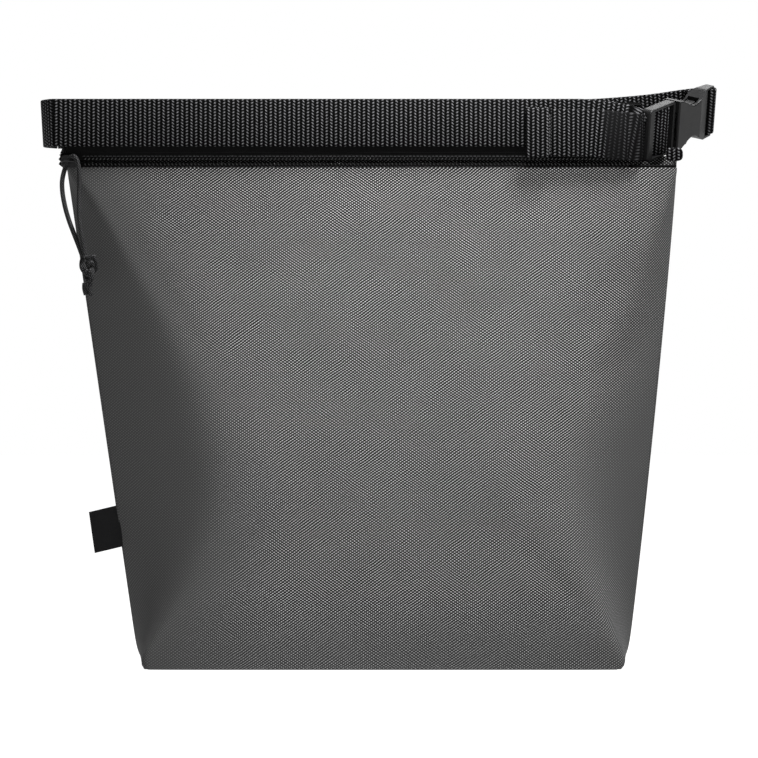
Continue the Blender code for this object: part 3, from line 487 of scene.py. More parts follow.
def woven_zip_tape():
    """Flat woven tape: a fine even grain, a little lighter than the collar."""
    return plain_weave("woven zip tape", "020202", "141415", TAPE_YARNS)


def woven_label_tape():
    """Satin label tape: smoother than the bag's cloth, so that it shines a little at its curl."""
    return plain_weave("woven label tape", "060607", "202021", LABEL_YARNS, 0.00005, 0.6)


def woven_webbing():
    """Heavy polypropylene webbing: ribs across the strap, made of floats that step up and down.

    Each second rib slants the other way, which gives the eye a herringbone. Where a strap's
    "pressed" attribute is high, as beside the adjuster, its floats are worn dull.
    """
    made, add = start_material("woven webbing")
    place, along, across = on_cloth(add)
    both_ribs = add("Math", (along, math.pi / WEBBING_RIB), operation="MULTIPLY")
    both_ribs = add("Math", (both_ribs,), operation="SINE")
    rib = add("Math", (both_ribs,), operation="ABSOLUTE")
    second = add("Math", (both_ribs, 0.0), operation="LESS_THAN")

    # The first rib's floats fall by one for each rib, and the second's rise by a half
    rib_turn = math.pi / WEBBING_RIB
    slant = add("Math", (second, 3 * rib_turn, -2 * rib_turn), operation="MULTIPLY_ADD")
    start = add("Math", (along, slant), operation="MULTIPLY")
    start = add("Math", (second, -1.5 * math.pi, start), operation="MULTIPLY_ADD")
    turn = add("Math", (across, 2 * math.pi / WEBBING_FLOAT, start), operation="MULTIPLY_ADD")
    dots = add("Math", (add("Math", (turn,), operation="SINE"), 0.5, 0.5), operation="MULTIPLY_ADD")
    body = add("Math", (add("Math", (rib, 2.4), operation="POWER"), dots), operation="MULTIPLY")
    fuzz = add("TexNoise", {"Vector": place, "Scale": 2.5, "Detail": 4.0, "Roughness": 0.7})
    bright = add("Math", (body, 2.0), operation="POWER")
    share = add("Math", (bright, add("Math", (fuzz, 0.5), operation="ADD")), operation="MULTIPLY")
    pressed = add("Attribute", output="Fac", attribute_name="pressed")
    worn = add("Math", (share, -0.86, 0.028), operation="MULTIPLY_ADD")
    share = add("Math", (pressed, worn, share), operation="MULTIPLY_ADD")
    flattened = add("Math", (pressed, -0.6, 1.0), operation="MULTIPLY_ADD")
    body = add("Math", (body, flattened), operation="MULTIPLY")
    height = add("Math", (rib, 0.5), operation="MULTIPLY")
    height = add("Math", (body, 0.7, height), operation="MULTIPLY_ADD")
    rough = add("Math", (fuzz, 0.2, 0.6), operation="MULTIPLY_ADD")
    return surface(made, add, share, "010101", "707072", rough, height, 0.5, 0.0004, specular=0.03)


def braided_cord():
    """Braided polyester cord: strands that cross on a slant, each crossing a dull glint."""
    made, add = start_material("braided cord")
    place, along, across = on_cloth(add)
    along = add("Math", (along, 2 * math.pi / BRAID_STEP), operation="MULTIPLY")
    across = add("Math", (across, 2 * math.pi / BRAID_STRAND), operation="MULTIPLY")
    rising = add("Math", (add("Math", (along, across), operation="ADD"),), operation="SINE")
    falling = add("Math", (add("Math", (along, across), operation="SUBTRACT"),), operation="SINE")
    crossing = add("Math", (add("Math", (rising, falling), operation="MULTIPLY"),), operation="ABSOLUTE")
    raised = add("Math", (crossing, 3.0), operation="POWER")
    fuzz = add("TexNoise", {"Vector": place, "Scale": 3.0, "Detail": 4.0, "Roughness": 0.7})
    share = add("Math", (fuzz, 1.6, -0.2), operation="MULTIPLY_ADD")
    share = add("Math", (raised, share), operation="MULTIPLY")
    return surface(made, add, share, "060606", "848486", 0.7, raised, 0.9, 0.0004, specular=0.08)


def moulded_acetal():
    """Injection-moulded acetal: satin black with a faint grain, cloudier where hands have rubbed it."""
    made, add = start_material("moulded acetal")
    place = in_millimetres(add, "Object")
    grain = add("TexNoise", {"Vector": place, "Scale": 6.0, "Detail": 3.0, "Roughness": 0.6})
    wear = add("TexNoise", {"Vector": place, "Scale": 0.15, "Detail": 3.0, "Roughness": 0.6})
    rough = add("Math", (wear, 0.15, 0.38), operation="MULTIPLY_ADD")
    return surface(made, add, wear, "0d0d0d", "161617", rough, grain, 0.12, 0.00005, specular=0.16)


def painted_zinc():
    """Die-cast zinc under black paint: glossy, with small grey chips where the paint has gone."""
    made, add = start_material("painted die-cast zinc")
    place = in_millimetres(add, "Object")
    chips = add("TexNoise", {"Vector": place, "Scale": 1.2, "Detail": 5.0, "Roughness": 0.7})
    chipped = add("Math", (chips, 0.68), operation="GREATER_THAN")
    rough = add("Math", (chips, 0.2, 0.25), operation="MULTIPLY_ADD")
    return surface(made, add, chipped, "0c0c0d", "38383a", rough, chips, 0.08, 0.00005, specular=0.25)


def drawn_nylon():
    """Nylon drawn to a thread and coiled: smooth and shiny, so that each tooth has a glint."""
    made, add = start_material("drawn nylon coil")
    place = in_millimetres(add, "Object")
    streaks = add("TexNoise", {"Vector": place, "Scale": 1.0, "Detail": 3.0, "Roughness": 0.6})
    rough = add("Math", (streaks, 0.15, 0.16), operation="MULTIPLY_ADD")
    return surface(made, add, streaks, "020202", "0c0c0d", rough, streaks, 0.1, 0.00005)


def foamed_polyethylene():
    """Closed-cell foam, cut from a sheet: pale and dull, with cells of about 0.6 mm."""
    made, add = start_material("foamed polyethylene")
    cells = add("TexVoronoi", {"Vector": in_millimetres(add, "Object"), "Scale": 1.6})
    return surface(made, add, cells, "d9d9d5", "f4f4f1", 0.85, cells, 0.5, 0.0003)


def rolled_foil():
    """Rolled foil film, welded in diamonds: bright, with crinkles that break up what it mirrors."""
    made, add = start_material("rolled foil film")
    place, along, across = on_cloth(add)
    welds = []
    for way in ("ADD", "SUBTRACT"):
        line = add("Math", (along, across), operation=way)
        line = add("Math", (line, 2 * math.pi / FOIL_DIAMOND), operation="MULTIPLY")
        line = add("Math", (line,), operation="SINE")
        welds.append(add("Math", (line,), operation="ABSOLUTE"))
    quilt = add("Math", welds, operation="MINIMUM")
    crinkle = add("TexNoise", {"Vector": place, "Scale": 0.12, "Detail": 5.0, "Roughness": 0.65})
    height = add("Math", (crinkle, 1.4, quilt), operation="MULTIPLY_ADD")
    rough = add("Math", (crinkle, 0.25, 0.15), operation="MULTIPLY_ADD")
    return surface(made, add, crinkle, "b9bcc0", "e2e4e6", rough, height, 0.6, 0.0012, Metallic=0.95)


def spun_thread():
    """Spun polyester thread: dull black, with paler fibres along its plies."""
    made, add = start_material("spun black thread")
    place = in_millimetres(add, "Object")
    plies = add("TexNoise", {"Vector": place, "Scale": 3.0, "Detail": 3.0, "Roughness": 0.6})
    return surface(made, add, plies, "161617", "4c4c4e", 0.6, plies, 0.4, 0.0001, Sheen_Weight=0.2)


def white_floor():
    """Pale paper that glows a little, so it stays white like the paper of a photo booth."""
    made, add = start_material("white floor")
    glow = add("Emission", {"Color": hex_colour("ffffff"), "Strength": 1.22})
    paper = add("BsdfDiffuse", {"Color": hex_colour("f3f3f3")})
    add("OutputMaterial", {"Surface": add("MixShader", (0.12, glow, paper))})
    return made


# Modelling

def deselect():
    bpy.ops.object.select_all(action="DESELECT")


def pick(made):
    """Selects one piece alone and makes it the active one."""
    deselect()
    made.select_set(True)
    bpy.context.view_layer.objects.active = made


def shaped_grid(name, columns, rows, place, measure):
    """A grid shaped point by point, with UVs that are distances along the cloth, in metres."""
    deselect()
    bpy.ops.mesh.primitive_grid_add(x_subdivisions=columns, y_subdivisions=rows, size=2)
    made = bpy.context.object
    made.name = name
    shares = [((vert.co.x + 1) / 2, (vert.co.y + 1) / 2) for vert in made.data.vertices]
    layer = made.data.uv_layers[0]
    for loop in made.data.loops:
        layer.data[loop.index].uv = measure(*shares[loop.vertex_index])
    for vert, share in zip(made.data.vertices, shares):
        vert.co = place(*share)
    return made


def edit(made, *steps):
    """Runs operators on all of a piece in edit mode."""
    pick(made)
    bpy.ops.object.mode_set(mode="EDIT")
    bpy.ops.mesh.select_all(action="SELECT")
    for operator, settings in steps:
        operator(**settings)
    bpy.ops.object.mode_set(mode="OBJECT")


def modify(made, kind, **settings):
    """Adds a modifier and applies it at once."""
    pick(made)
    step = made.modifiers.new(kind.lower(), kind)
    for name, value in settings.items():
        setattr(step, name, value)
    bpy.ops.object.modifier_apply(modifier=step.name)


def repeat(made, count, step):
    """A row of copies, each one step on from the last."""
    modify(
        made, "ARRAY", count=count, use_relative_offset=False,
        use_constant_offset=True, constant_offset_displace=step,
    )


def mark_points(made, name, value_at):
    """Gives each point of a piece a number that its material reads."""
    marks = made.data.attributes.new(name, "FLOAT", "POINT")
    for vert, mark in zip(made.data.vertices, marks.data):
        mark.value = value_at(vert.co)


def finish_piece(made, material, body, angle=40.0):
    """Smooths a piece, gives it its finish and sets it on the body that carries it."""
    made.data.materials.clear()
    made.data.materials.append(material)
    pick(made)
    bpy.ops.object.transform_apply(location=True, rotation=True, scale=True)
    bpy.ops.object.shade_smooth_by_angle(angle=math.radians(angle))
    if body:
        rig.ride(made, body)
    return made


def thicken(made, thickness, offset=-1.0):
    modify(made, "SOLIDIFY", thickness=thickness, offset=offset)


# The bag's form

def rise(z):
    """How far up the front a height is, from 0 to 1."""
    return min(max(z / FRONT_HEIGHT, 0), 1)


def arch(z):
    """Nothing at the base and the mouth, and 1 half way between."""
    return math.sin(math.pi * rise(z))


def bulge(z):
    """The filled bag's sides swell a little between the base and the mouth."""
    return SIDE_BULGE * math.sqrt(arch(z))


def middle_x(z):
    """The bag leans a little to the left."""
    return bulge(z) - LEAN * z / FRONT_HEIGHT


def seam_half(z):
    """Half the width at the side seams, which spread fast just above the base."""
    share = z / FRONT_HEIGHT
    spread = SIDE_SPREAD * (1 - share) * (1 - math.exp(-z / SPREAD_RISE))
    return mix(BASE_WIDTH, TOP_WIDTH, share) / 2 + spread + bulge(z)


def fold_out(z, is_left):
    """How far a side seam stands out from its creases. The left one starts higher up."""
    share = rise(z) ** FOLD_RISE
    width, top_power = (LEFT_FOLD, LEFT_FOLD_TOP) if is_left else (RIGHT_FOLD, RIGHT_FOLD_TOP)
    return width * math.sin(math.pi * share) ** (FOLD_POWER if share < 0.5 else top_power)


def crease_depth(z):
    return mix(BASE_DEPTH, MOUTH_DEPTH, rise(z)) / 2


def flat_half(z, is_left):
    """Half the width of the flat of a wall, from its middle to a crease."""
    return seam_half(z) - fold_out(z, is_left)


def folded_point(across, z, inset):
    """A point of the wall in plan, with sharp creases: x from the middle, and the depth."""
    depth, fold = crease_depth(z), fold_out(z, across < 0)
    slant = math.hypot(depth, fold)
    corner = seam_half(z) - fold - inset * (slant - fold) / depth
    seam = seam_half(z) - inset * slant / depth
    side = math.hypot(seam - corner, depth - inset)
    reach = abs(across) * (side + corner)
    if reach <= corner:
        swell = FRONT_BELLY * arch(z) * (1 - (reach / corner) ** 4)
        x, y = reach, depth - inset + swell
    else:
        share = (reach - corner) / side
        x, y = mix(corner, seam, share), (depth - inset) * (1 - share)
    return math.copysign(x, across), y


def wall_point(side, across, z, inset):
    """A point of the front (side -1) or back (side 1) wall, from seam to seam, with soft creases.

    Each point is a weighted mean of its neighbours, which rounds the creases most at half height.
    """
    half_length = seam_half(z) + crease_depth(z) * 0.5
    softness = mix(SHARP_CREASE, SOFT_CREASE, arch(z) ** 0.8)
    spread = min(softness / half_length, 0.85 * (1 - abs(across)))
    x = y = 0.0
    for step in range(1 - SOFT_STEPS, SOFT_STEPS):
        weight = (SOFT_STEPS - abs(step)) / SOFT_STEPS ** 2
        point = folded_point(across + spread * step / (SOFT_STEPS - 1), z, inset)
        x += weight * point[0]
        y += weight * point[1]
    return Vector((middle_x(z) + x, side * y, z))


def creases(x, z, side):
    """Soft hollows and folds in the front and back walls, as a depth in metres."""
    place = Vector((x * 9, z * 5, side * 3.1))
    broad = noise.noise(place) * 1.6
    fine = noise.noise(place * 3.3) * 0.45
    fade = arch(z) ** 0.6
    pulls = 0.0
    for start_x, start_z, slope, width, depth in PULLS:
        inward = -math.copysign(1, start_x) * (x - start_x)
        reach = math.exp(-((inward - PULL_FROM) / PULL_LENGTH) ** 2)
        across = (z - start_z) - slope * (x - start_x)
        pulls += depth * reach * math.exp(-(across / width) ** 2)
    return (broad + fine - pulls) * fade * MM


def tautness(place):
    """How tightly a wall is stretched: 1 on its flat, and little beyond its creases."""
    x, z = place.x - middle_x(place.z), place.z
    if x < 0:
        beyond = LEFT_TAUT * math.sin(math.pi * min(z / LEFT_TAUT_TOP, 1)) ** 0.7
        fade = LEFT_FADE
    else:
        beyond = RIGHT_TAUT + RIGHT_SWELL * math.exp(-((z - SWELL_AT) / SWELL_REACH) ** 2)
        fade = RIGHT_FADE
    flat = ease((flat_half(z, x < 0) + beyond - abs(x)) / fade)
    return mix(SLACK_SIDE, mix(SLACK_FOOT, 1.0, ease(z / FOOT_RISE)), flat)


def wall_cloth(name, side, top, material, replaced):
    """The front or back cloth: from seam to seam, sagging a little."""
    def place(across, up):
        z = max(top * up, GAP)
        share = across * 2 - 1
        point = wall_point(side, -side * share, z, 0.0)
        edge = min((1 - abs(share)) * 6, 1)
        point.y += side * creases(point.x, z, side) * edge
        return point

    def measure(across, up):
        z = top * up
        share = across * 2 - 1
        is_left = side * share > 0
        fold = math.hypot(crease_depth(z), fold_out(z, is_left))
        slope = 1.01
        return (share * (flat_half(z, is_left) + fold), z * slope)

    cloth = shaped_grid(name, 150, 120, place, measure)
    mark_points(cloth, "taut", tautness)
    thicken(cloth, CLOTH)
    finish_piece(cloth, material, "insulated_body", 60)
    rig.replaces(cloth, *replaced)


def cup(name, inset, thickness, rim, material, replaced):
    """A shell inside the cloth: walls that close on a flat floor."""
    floor = 0.10

    def place(around, up):
        side = -1 if around < 0.5 else 1
        share = (around * 2 - (0 if side < 0 else 1)) * 2 - 1
        z = inset if up < floor else mix(inset, rim, (up - floor) / (1 - floor))
        point = wall_point(side, -side * share, z, inset)
        if up < floor:
            point.y *= up / floor
        return point

    def measure(around, up):
        girth, slope = 0.6, 1.2
        return (around * girth, up * rim * slope)

    shell = shaped_grid(name, 160, 60, place, measure)
    edit(shell, (bpy.ops.mesh.remove_doubles, {"threshold": 0.00002}))
    edit(shell, (bpy.ops.mesh.normals_make_consistent, {"inside": False}))
    thicken(shell, thickness)
    finish_piece(shell, material, "insulated_body", 60)
    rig.replaces(shell, *replaced)


def base_cloth(material):
    """The base, with its corners drawn in a little."""
    def place(across, up):
        x_share, y_share = across * 2 - 1, up * 2 - 1
        x = x_share * (BASE_WIDTH / 2 - 2 * GAP)
        y = y_share * (BASE_DEPTH / 2 - 2 * GAP)
        corner = (abs(x_share) * abs(y_share)) ** 12
        return Vector((x * (1 - 0.012 * corner), y * (1 - 0.03 * corner), 0.0))

    def measure(across, up):
        return (across * BASE_WIDTH, up * BASE_DEPTH)

    base = shaped_grid("base_cloth", 40, 16, place, measure)
    edit(base, (bpy.ops.mesh.flip_normals, {}))
    thicken(base, CLOTH)
    finish_piece(base, material, "insulated_body", 60)
    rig.replaces(base, "base_panel")


# Straps and cords

def rounded_section(width, thickness, steps):
    """Points round a strap's section, with rounded edges, and the distance to each."""
    radius = thickness / 2
    points = []
    for centre, start in ((width / 2 - radius, -90), (radius - width / 2, 90)):
        for step in range(steps + 1):
            angle = math.radians(start + 180 * step / steps)
            points.append((centre + radius * math.cos(angle), radius * math.sin(angle)))
    distances = [0.0]
    for before, after in zip(points, points[1:] + points[:1]):
        distances.append(distances[-1] + math.dist(before, after))
    return points, distances


def round_section(radius, steps):
    """Points round a cord's section, and the distance to each."""
    points = []
    for step in range(steps):
        angle = 2 * math.pi * step / steps
        points.append((radius * math.cos(angle), radius * math.sin(angle)))
    distances = [2 * math.pi * radius * step / steps for step in range(steps + 1)]
    return points, distances


def swept(name, stations, section, material, body):
    """A section carried along stations, each a middle point and the way up, with closed ends."""
    points, distances = section
    lengths = [0.0]
    for before, after in zip(stations, stations[1:]):
        lengths.append(lengths[-1] + (after[0] - before[0]).length)
    count = len(points)
    closed = (stations[0][0] - stations[-1][0]).length < MM / 100

    def place(along, around):
        number = round(along * (len(stations) - 1))
        middle, up = stations[number]
        before = stations[number - 1][0] if number or closed else middle
        after = stations[min(number + 1, len(stations) - 1)][0]
        if closed and number in (0, len(stations) - 1):
            before, after = stations[-2][0], stations[1][0]
        forward = (after - before).normalized()
        out = forward.cross(up).normalized()
        high = out.cross(forward).normalized()
        a, b = points[round(around * count) % count]
        return middle + high * a + out * b

    def measure(along, around):
        number = round(along * (len(stations) - 1))
        return (lengths[number], distances[round(around * count)])

    made = shaped_grid(name, len(stations) - 1, count, place, measure)
    edit(
        made, (bpy.ops.mesh.remove_doubles, {"threshold": 0.000005}),
        (bpy.ops.mesh.fill_holes, {"sides": 0}),
        (bpy.ops.mesh.normals_make_consistent, {"inside": False}),
    )
    return finish_piece(made, material, body, 50)


def smooth_path(points, steps):
    """Points along a smooth curve through the given ones, several to each span."""
    points = [Vector(point) for point in points]
    ends = [points[0] * 2 - points[1]] + points + [points[-1] * 2 - points[-2]]
    path = []
    for before, start, end, after in zip(ends, ends[1:], ends[2:], ends[3:]):
        for step in range(steps):
            t = step / steps
            path.append(0.5 * (
                2 * start + (end - before) * t
                + (2 * before - 5 * start + 4 * end - after) * t ** 2
                + (3 * start - before - 3 * end + after) * t ** 3
            ))
    path.append(points[-1])
    return path


def stations_of(points, ups, steps):
    path = smooth_path(points, steps)
    ways = smooth_path(ups, steps)
    return [(point, way.normalized()) for point, way in zip(path, ways)]


def at_buckle(x, y):
    """A point of the buckle's middle plane, in the bag's frame."""
    return BUCKLE_MATRIX @ Vector((x, y, 0))


def round_bar(bar_x, radius, degrees):
    """A point of a strap's turn round one of the buckle's bars."""
    angle = math.radians(degrees)
    return at_buckle(bar_x + radius * math.cos(angle), radius * math.sin(angle))


def droop(x):
    """The front strap hangs lower towards the buckle's weight."""
    return mix(WEB_Z, BUCKLE_AT.z + DROOP_LIFT, ease((x - DROOP_START) / DROOP_LENGTH))


def turned(share):
    """The way up of a strap that has turned by a share towards the buckle's."""
    return mix(UPRIGHT, BUCKLE_UP, share).normalized()


def strap_front(webbing, section, crest):
    """The turn at the left end, the run along the front and the way into the adjuster."""
    middle = (FRONT_WEB_Y + BACK_WEB_Y) / 2
    reach = (BACK_WEB_Y - FRONT_WEB_Y) / 2
    turn_steps, run_steps = 26, 48
    points, ups = [], []
    for step in range(turn_steps):
        angle = math.pi * (1 - step / turn_steps)
        x = TURN_X - GAP - TURN_REACH * (1 - abs(math.cos(angle)) ** 1.3) ** 0.8
        points.append(Vector((x, middle - reach * math.cos(angle), WEB_Z)))
        ups.append(TURN_LEAN)
    for step in range(run_steps):
        x = mix(TURN_X + 0.0006, FRONT_END, step / (run_steps - 1))
        points.append(Vector((x, FRONT_WEB_Y, droop(x))))
        ups.append(mix(TURN_LEAN, UPRIGHT, min(step / 2, 1)).normalized())
    for x, share in ((0.1205, 0.08), (0.1238, 0.2)):
        points.append(Vector((x, FRONT_WEB_Y + GAP, droop(x))))
        ups.append(turned(share))
    for x in (-0.0028, 0.0015, 0.0070, 0.0125):
        points.append(at_buckle(x, MAIN_Y))
        ups.append(BUCKLE_UP)
    points += crest
    ups += [BUCKLE_UP] * len(crest)
    front = swept("strap_front", stations_of(points, ups, 2), section, webbing, None)
    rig.replaces(front, "front_webbing", "left_webbing_turn", "adjuster_webbing")
    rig.blend(front, "collar", "strap_plug", (BEND_START, FRONT_WEB_Y, WEB_Z), (BEND_END, FRONT_WEB_Y, WEB_Z))


def wear(place):
    """How worn the tail is: most where it bends to the adjuster, and not at all beyond it."""
    start = ease((place.x - WORN_START) / WORN_FADE_IN)
    end = 1 - ease((place.x - WORN_END) / WORN_FADE_OUT)
    return start * end * mix(1.0, WORN_LESS, ease((place.x - WORN_LESS_START) / WORN_FADE_OUT))


def strap_tail(webbing, section, crest):
    """The way back from the adjuster's centre bar, over the front strap, to the hem."""
    points = list(crest)
    ups = [BUCKLE_UP] * len(points)
    for x, y, share in (
        (0.0115, -0.0012, 1), (0.0075, TAIL_Y - GAP, 1), (0.0005, TAIL_Y, 0.85),
        (-0.0044, TAIL_Y - 2 * GAP, 0.55),
    ):
        points.append(at_buckle(x, y))
        ups.append(turned(share))
    for x, share in ((0.1238, 0.2), (0.1205, 0.08), (0.1160, 0.02), (0.108, 0), (0.100, 0), (0.092, 0)):
        sag = TAIL_SAG * ease((x - SAG_START) / SAG_LENGTH)
        points.append(Vector((x, TAIL_WEB_Y, TAIL_Z - sag)))
        ups.append(turned(share))
    points.append(Vector((HEM_START + HEM_LENGTH - 0.0010, TAIL_WEB_Y, TAIL_Z)))
    ups.append(UPRIGHT)
    tail = swept("strap_tail", stations_of(points, ups, 3), section, webbing, "strap_plug")
    mark_points(tail, "pressed", wear)
    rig.replaces(tail, "adjuster_webbing")


def strap_back(webbing, section):
    """The run along the back, the turn round the socket's bar and the sewn return."""
    bar_x = SOCKET_END - SOCKET_BAR_RADIUS
    around = SOCKET_BAR_RADIUS + GAP + WEB_THICK / 2
    loop = [round_bar(bar_x, around, degrees) for degrees in range(72, -180, -10)]
    lifts = TOP_HALF / 3
    run_steps = 24
    back = []
    for step in range(run_steps + 1):
        back.append(Vector((mix(TURN_X + 0.0004, lifts, step / run_steps), BACK_WEB_Y, WEB_Z)))
    corner = Vector((TOP_HALF, BACK_WEB_Y, WEB_Z))
    back += [corner + Vector(point) * MM for point in BACK_SWEEP]
    ups = [UPRIGHT] * (len(back) - 2) + [turned(0.4), turned(0.8)]
    away = (back[-1] - loop[0]).normalized()
    inward = BUCKLE_UP.cross(away) * RETURN_OFFSET
    sewn = [loop[0] + away * reach + inward for reach in SEWN_RETURN]
    back += [loop[0] + away * reach for reach in RUN_IN]
    loop.append(at_buckle(bar_x - around - GAP, around / 4))
    ups += [BUCKLE_UP] * (len(RUN_IN) + len(loop) + len(sewn))
    rear = swept("strap_back", stations_of(back + loop + sewn, ups, 3), section, webbing, "collar")
    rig.replaces(rear, "back_webbing")


def make_strap(webbing):
    """The strap in the pieces that move apart. Front and tail meet on the adjuster's centre bar."""
    section = rounded_section(WEB_WIDTH, WEB_THICK, 4)
    crest = [round_bar(CENTRE_BAR_AT, CENTRE_TURN, degrees) for degrees in range(75, -120, -15)]
    meet = 6
    strap_front(webbing, section, crest[:meet])
    strap_tail(webbing, section, crest[meet - 1:])
    strap_back(webbing, section)


def stitch_row(name, start, along, length, pitch, material, body, width=0.0005):
    """A row of stitches: one short thread, rounded at its ends, repeated along the row."""
    turn = UPRIGHT.rotation_difference(along)
    deselect()
    bpy.ops.mesh.primitive_cylinder_add(vertices=6, radius=width / 2, depth=pitch * 0.72, location=start)
    made = bpy.context.object
    made.name = name
    made.rotation_euler = turn.to_euler()
    bpy.ops.object.transform_apply(location=True, rotation=True, scale=True)
    modify(made, "BEVEL", width=width * 0.22, segments=1, limit_method="ANGLE")
    repeat(made, int(length / pitch), along * pitch)
    finish_piece(made, material, body)


def make_hem(webbing, thread):
    """The strap's free end, folded twice and sewn along its edge."""
    section = rounded_section(WEB_WIDTH + HEM_EXTRA, HEM_THICK, 5)
    y = TAIL_WEB_Y + (WEB_THICK - HEM_THICK) / 2
    steps = 10
    stations = []
    for step in range(steps + 1):
        swell = HEM_SWELL * math.sin(math.pi * step / steps)
        middle = Vector((HEM_START + HEM_LENGTH * step / steps, y - swell, TAIL_Z))
        stations.append((middle, Vector((HEM_LEAN * (step - steps), 0, 1))))
    hem = swept("strap_hem", stations, section, webbing, "strap_plug")
    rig.replaces(hem, "webbing_hem")
    margin = 0.0015
    start = Vector((HEM_START + HEM_LENGTH - HEM_STITCH_IN, y - margin, TAIL_Z - WEB_WIDTH / 2 + margin))
    stitch_row("hem_stitches", start, UPRIGHT, WEB_WIDTH - 2 * margin, 0.0017, thread, "strap_plug")


# Collar, zip and label

def collar_cloth(material):
    """The collar: one length of cloth that rises, folds over the top and comes down behind."""
    def place(along, around):
        share = around * 2 - 1
        side = -1 if share < 0 else 1
        up = 1 - abs(share)
        lean = ease((up - 0.28) / 0.72)
        z = mix(COLLAR_BOTTOM, COLLAR_TOP, up ** 0.92)
        depth = mix(COLLAR_HALF_DEPTH, 0.0, lean ** 1.6)
        left = COLLAR_LEFT + 0.0012 * math.sin(up * 14)
        end = min(along, 1 - along)
        closing = ease(end / 0.010)
        level_x = mix(left, COLLAR_RIGHT, along)
        wave = noise.noise(Vector((level_x * 40, z * 60, side * 2.0))) * COLLAR_WAVE * ease(end / 0.05)
        depth = max((depth + wave - GAP) * mix(0.12, 1.0, closing), MM / 50)
        right = COLLAR_RIGHT + side * depth * COLLAR_SLANT
        return Vector((mix(left, right, along), side * depth, z))

    def measure(along, around):
        return (along * (COLLAR_RIGHT - COLLAR_LEFT), around * COLLAR_GIRTH)

    collar = shaped_grid("collar_cloth", 180, 40, place, measure)
    thicken(collar, COLLAR_CLOTH)
    finish_piece(collar, material, "collar", 60)
    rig.replaces(collar, "collar_front", "collar_back")


def zip_tapes(tape, thread):
    """Both tapes as thin woven strips, with the line of stitches that holds each coil."""
    steps = 60
    for name, sign, body in (("lower", -1, "insulated_body"), ("upper", 1, "collar")):
        low, high = (Vector(corner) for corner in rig.box(f"{name}_zip_tape"))
        middle = (low + high) / 2
        stations = []
        for step in range(steps + 1):
            stations.append((Vector((mix(low.x, high.x, step / steps), middle.y, middle.z)), UPRIGHT))
        section = rounded_section(high.z - low.z, high.y - low.y, 3)
        strip = swept(f"{name}_tape_strip", stations, section, tape, body)
        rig.replaces(strip, f"{name}_zip_tape")
        start = Vector((CHAIN_START, low.y - 0.0001, MIDDLE_Z + sign * (CHAIN_HEIGHT / 2 + 0.0007)))
        stitch_row(
            f"{name}_tape_stitches", start, Vector((1, 0, 0)), CHAIN_END - CHAIN_START,
            TOOTH_PITCH, thread, body, 0.0004,
        )


def zip_teeth(material):
    """Each coil as a row of slanted loops that meet the other row's like a herringbone."""
    middle_y = TAPE_FRONT - GAP - TOOTH_DEPTH / 2
    near, far = CHAIN_SPLIT / 2, CHAIN_HEIGHT / 2
    count = int((CHAIN_END - CHAIN_START - 2 * END_MARGIN) / TOOTH_PITCH) + 1
    for name, sign, body in (("lower", -1, "insulated_body"), ("upper", 1, "collar")):
        deselect()
        bpy.ops.mesh.primitive_cylinder_add(
            vertices=10, radius=TOOTH_RADIUS, depth=far - near,
            location=(CHAIN_START + END_MARGIN, middle_y, MIDDLE_Z + sign * (near + far) / 2),
        )
        tooth = bpy.context.object
        tooth.name = f"{name}_teeth"
        edit(
            tooth,
            (bpy.ops.transform.resize, {"value": (1.0, 0.95, 0.96)}),
            (bpy.ops.mesh.bevel, {"offset": 0.00018, "segments": 2, "affect": "EDGES"}),
        )
        for vert in tooth.data.vertices:
            vert.co.x += vert.co.z * math.tan(TOOTH_TILT * sign)
        pick(tooth)
        bpy.ops.object.transform_apply(location=True, rotation=True, scale=True)
        repeat(tooth, count, (TOOTH_PITCH, 0, 0))
        finish_piece(tooth, material, body)
        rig.replaces(tooth, f"{name}_zip_coil")


def soft_block(name, node, material, roundness, lift=0.0, ripple=0.0):
    """A small folded piece of cloth in a node's place, rounded and full, or rippled at its edge."""
    low, high = (Vector(corner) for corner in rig.box(node))
    middle, half = (low + high) / 2, (high - low) / 2
    deselect()
    bpy.ops.mesh.primitive_uv_sphere_add(segments=40, ring_count=20, radius=1)
    made = bpy.context.object
    made.name = name
    for vert in made.data.vertices:
        size = sum(abs(value) ** roundness for value in vert.co) ** (1 / roundness)
        place = vert.co / size
        place.x *= 1 + ripple * math.sin(place.z * 9) * abs(place.x)
        vert.co = middle + place * half + Vector((0, 0, lift))
    edit(made, (bpy.ops.uv.cube_project, {"cube_size": 1.0}))
    finish_piece(made, material, "insulated_body", 60)
    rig.replaces(made, node)


def make_label(cloth):
    """The side label: a folded tape with its edges woven in, left bare."""
    low, high = LABEL_AT - LABEL_HEIGHT / 2, LABEL_AT + LABEL_HEIGHT / 2
    drop = LABEL_REACH * math.tan(LABEL_TILT)

    def place(across, up):
        z = mix(low, high, up)
        x = middle_x(z) - seam_half(z) + 0.001 - across * (LABEL_REACH + 0.0006)
        curl = 0.0009 * math.sin(across * 2.6) + 0.0003 * math.sin(up * 5)
        return Vector((x, -curl, z - across * drop))

    def measure(across, up):
        return (across * LABEL_REACH, up * LABEL_HEIGHT)

    label = shaped_grid("label_tape", 24, 24, place, measure)
    thicken(label, LABEL_TAPE, 0.0)
    edit(label, (bpy.ops.mesh.normals_make_consistent, {"inside": False}))
    finish_piece(label, cloth, "insulated_body", 60)
    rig.replaces(label, "side_label")


# Pull cord

def hung(points):
    """Points given in millimetres from the bail's bar, in the bag's frame."""
    return [BAIL_AT + Vector(point) * MM for point in points]


def path_length(path):
    return sum((after - before).length for before, after in zip(path, path[1:]))


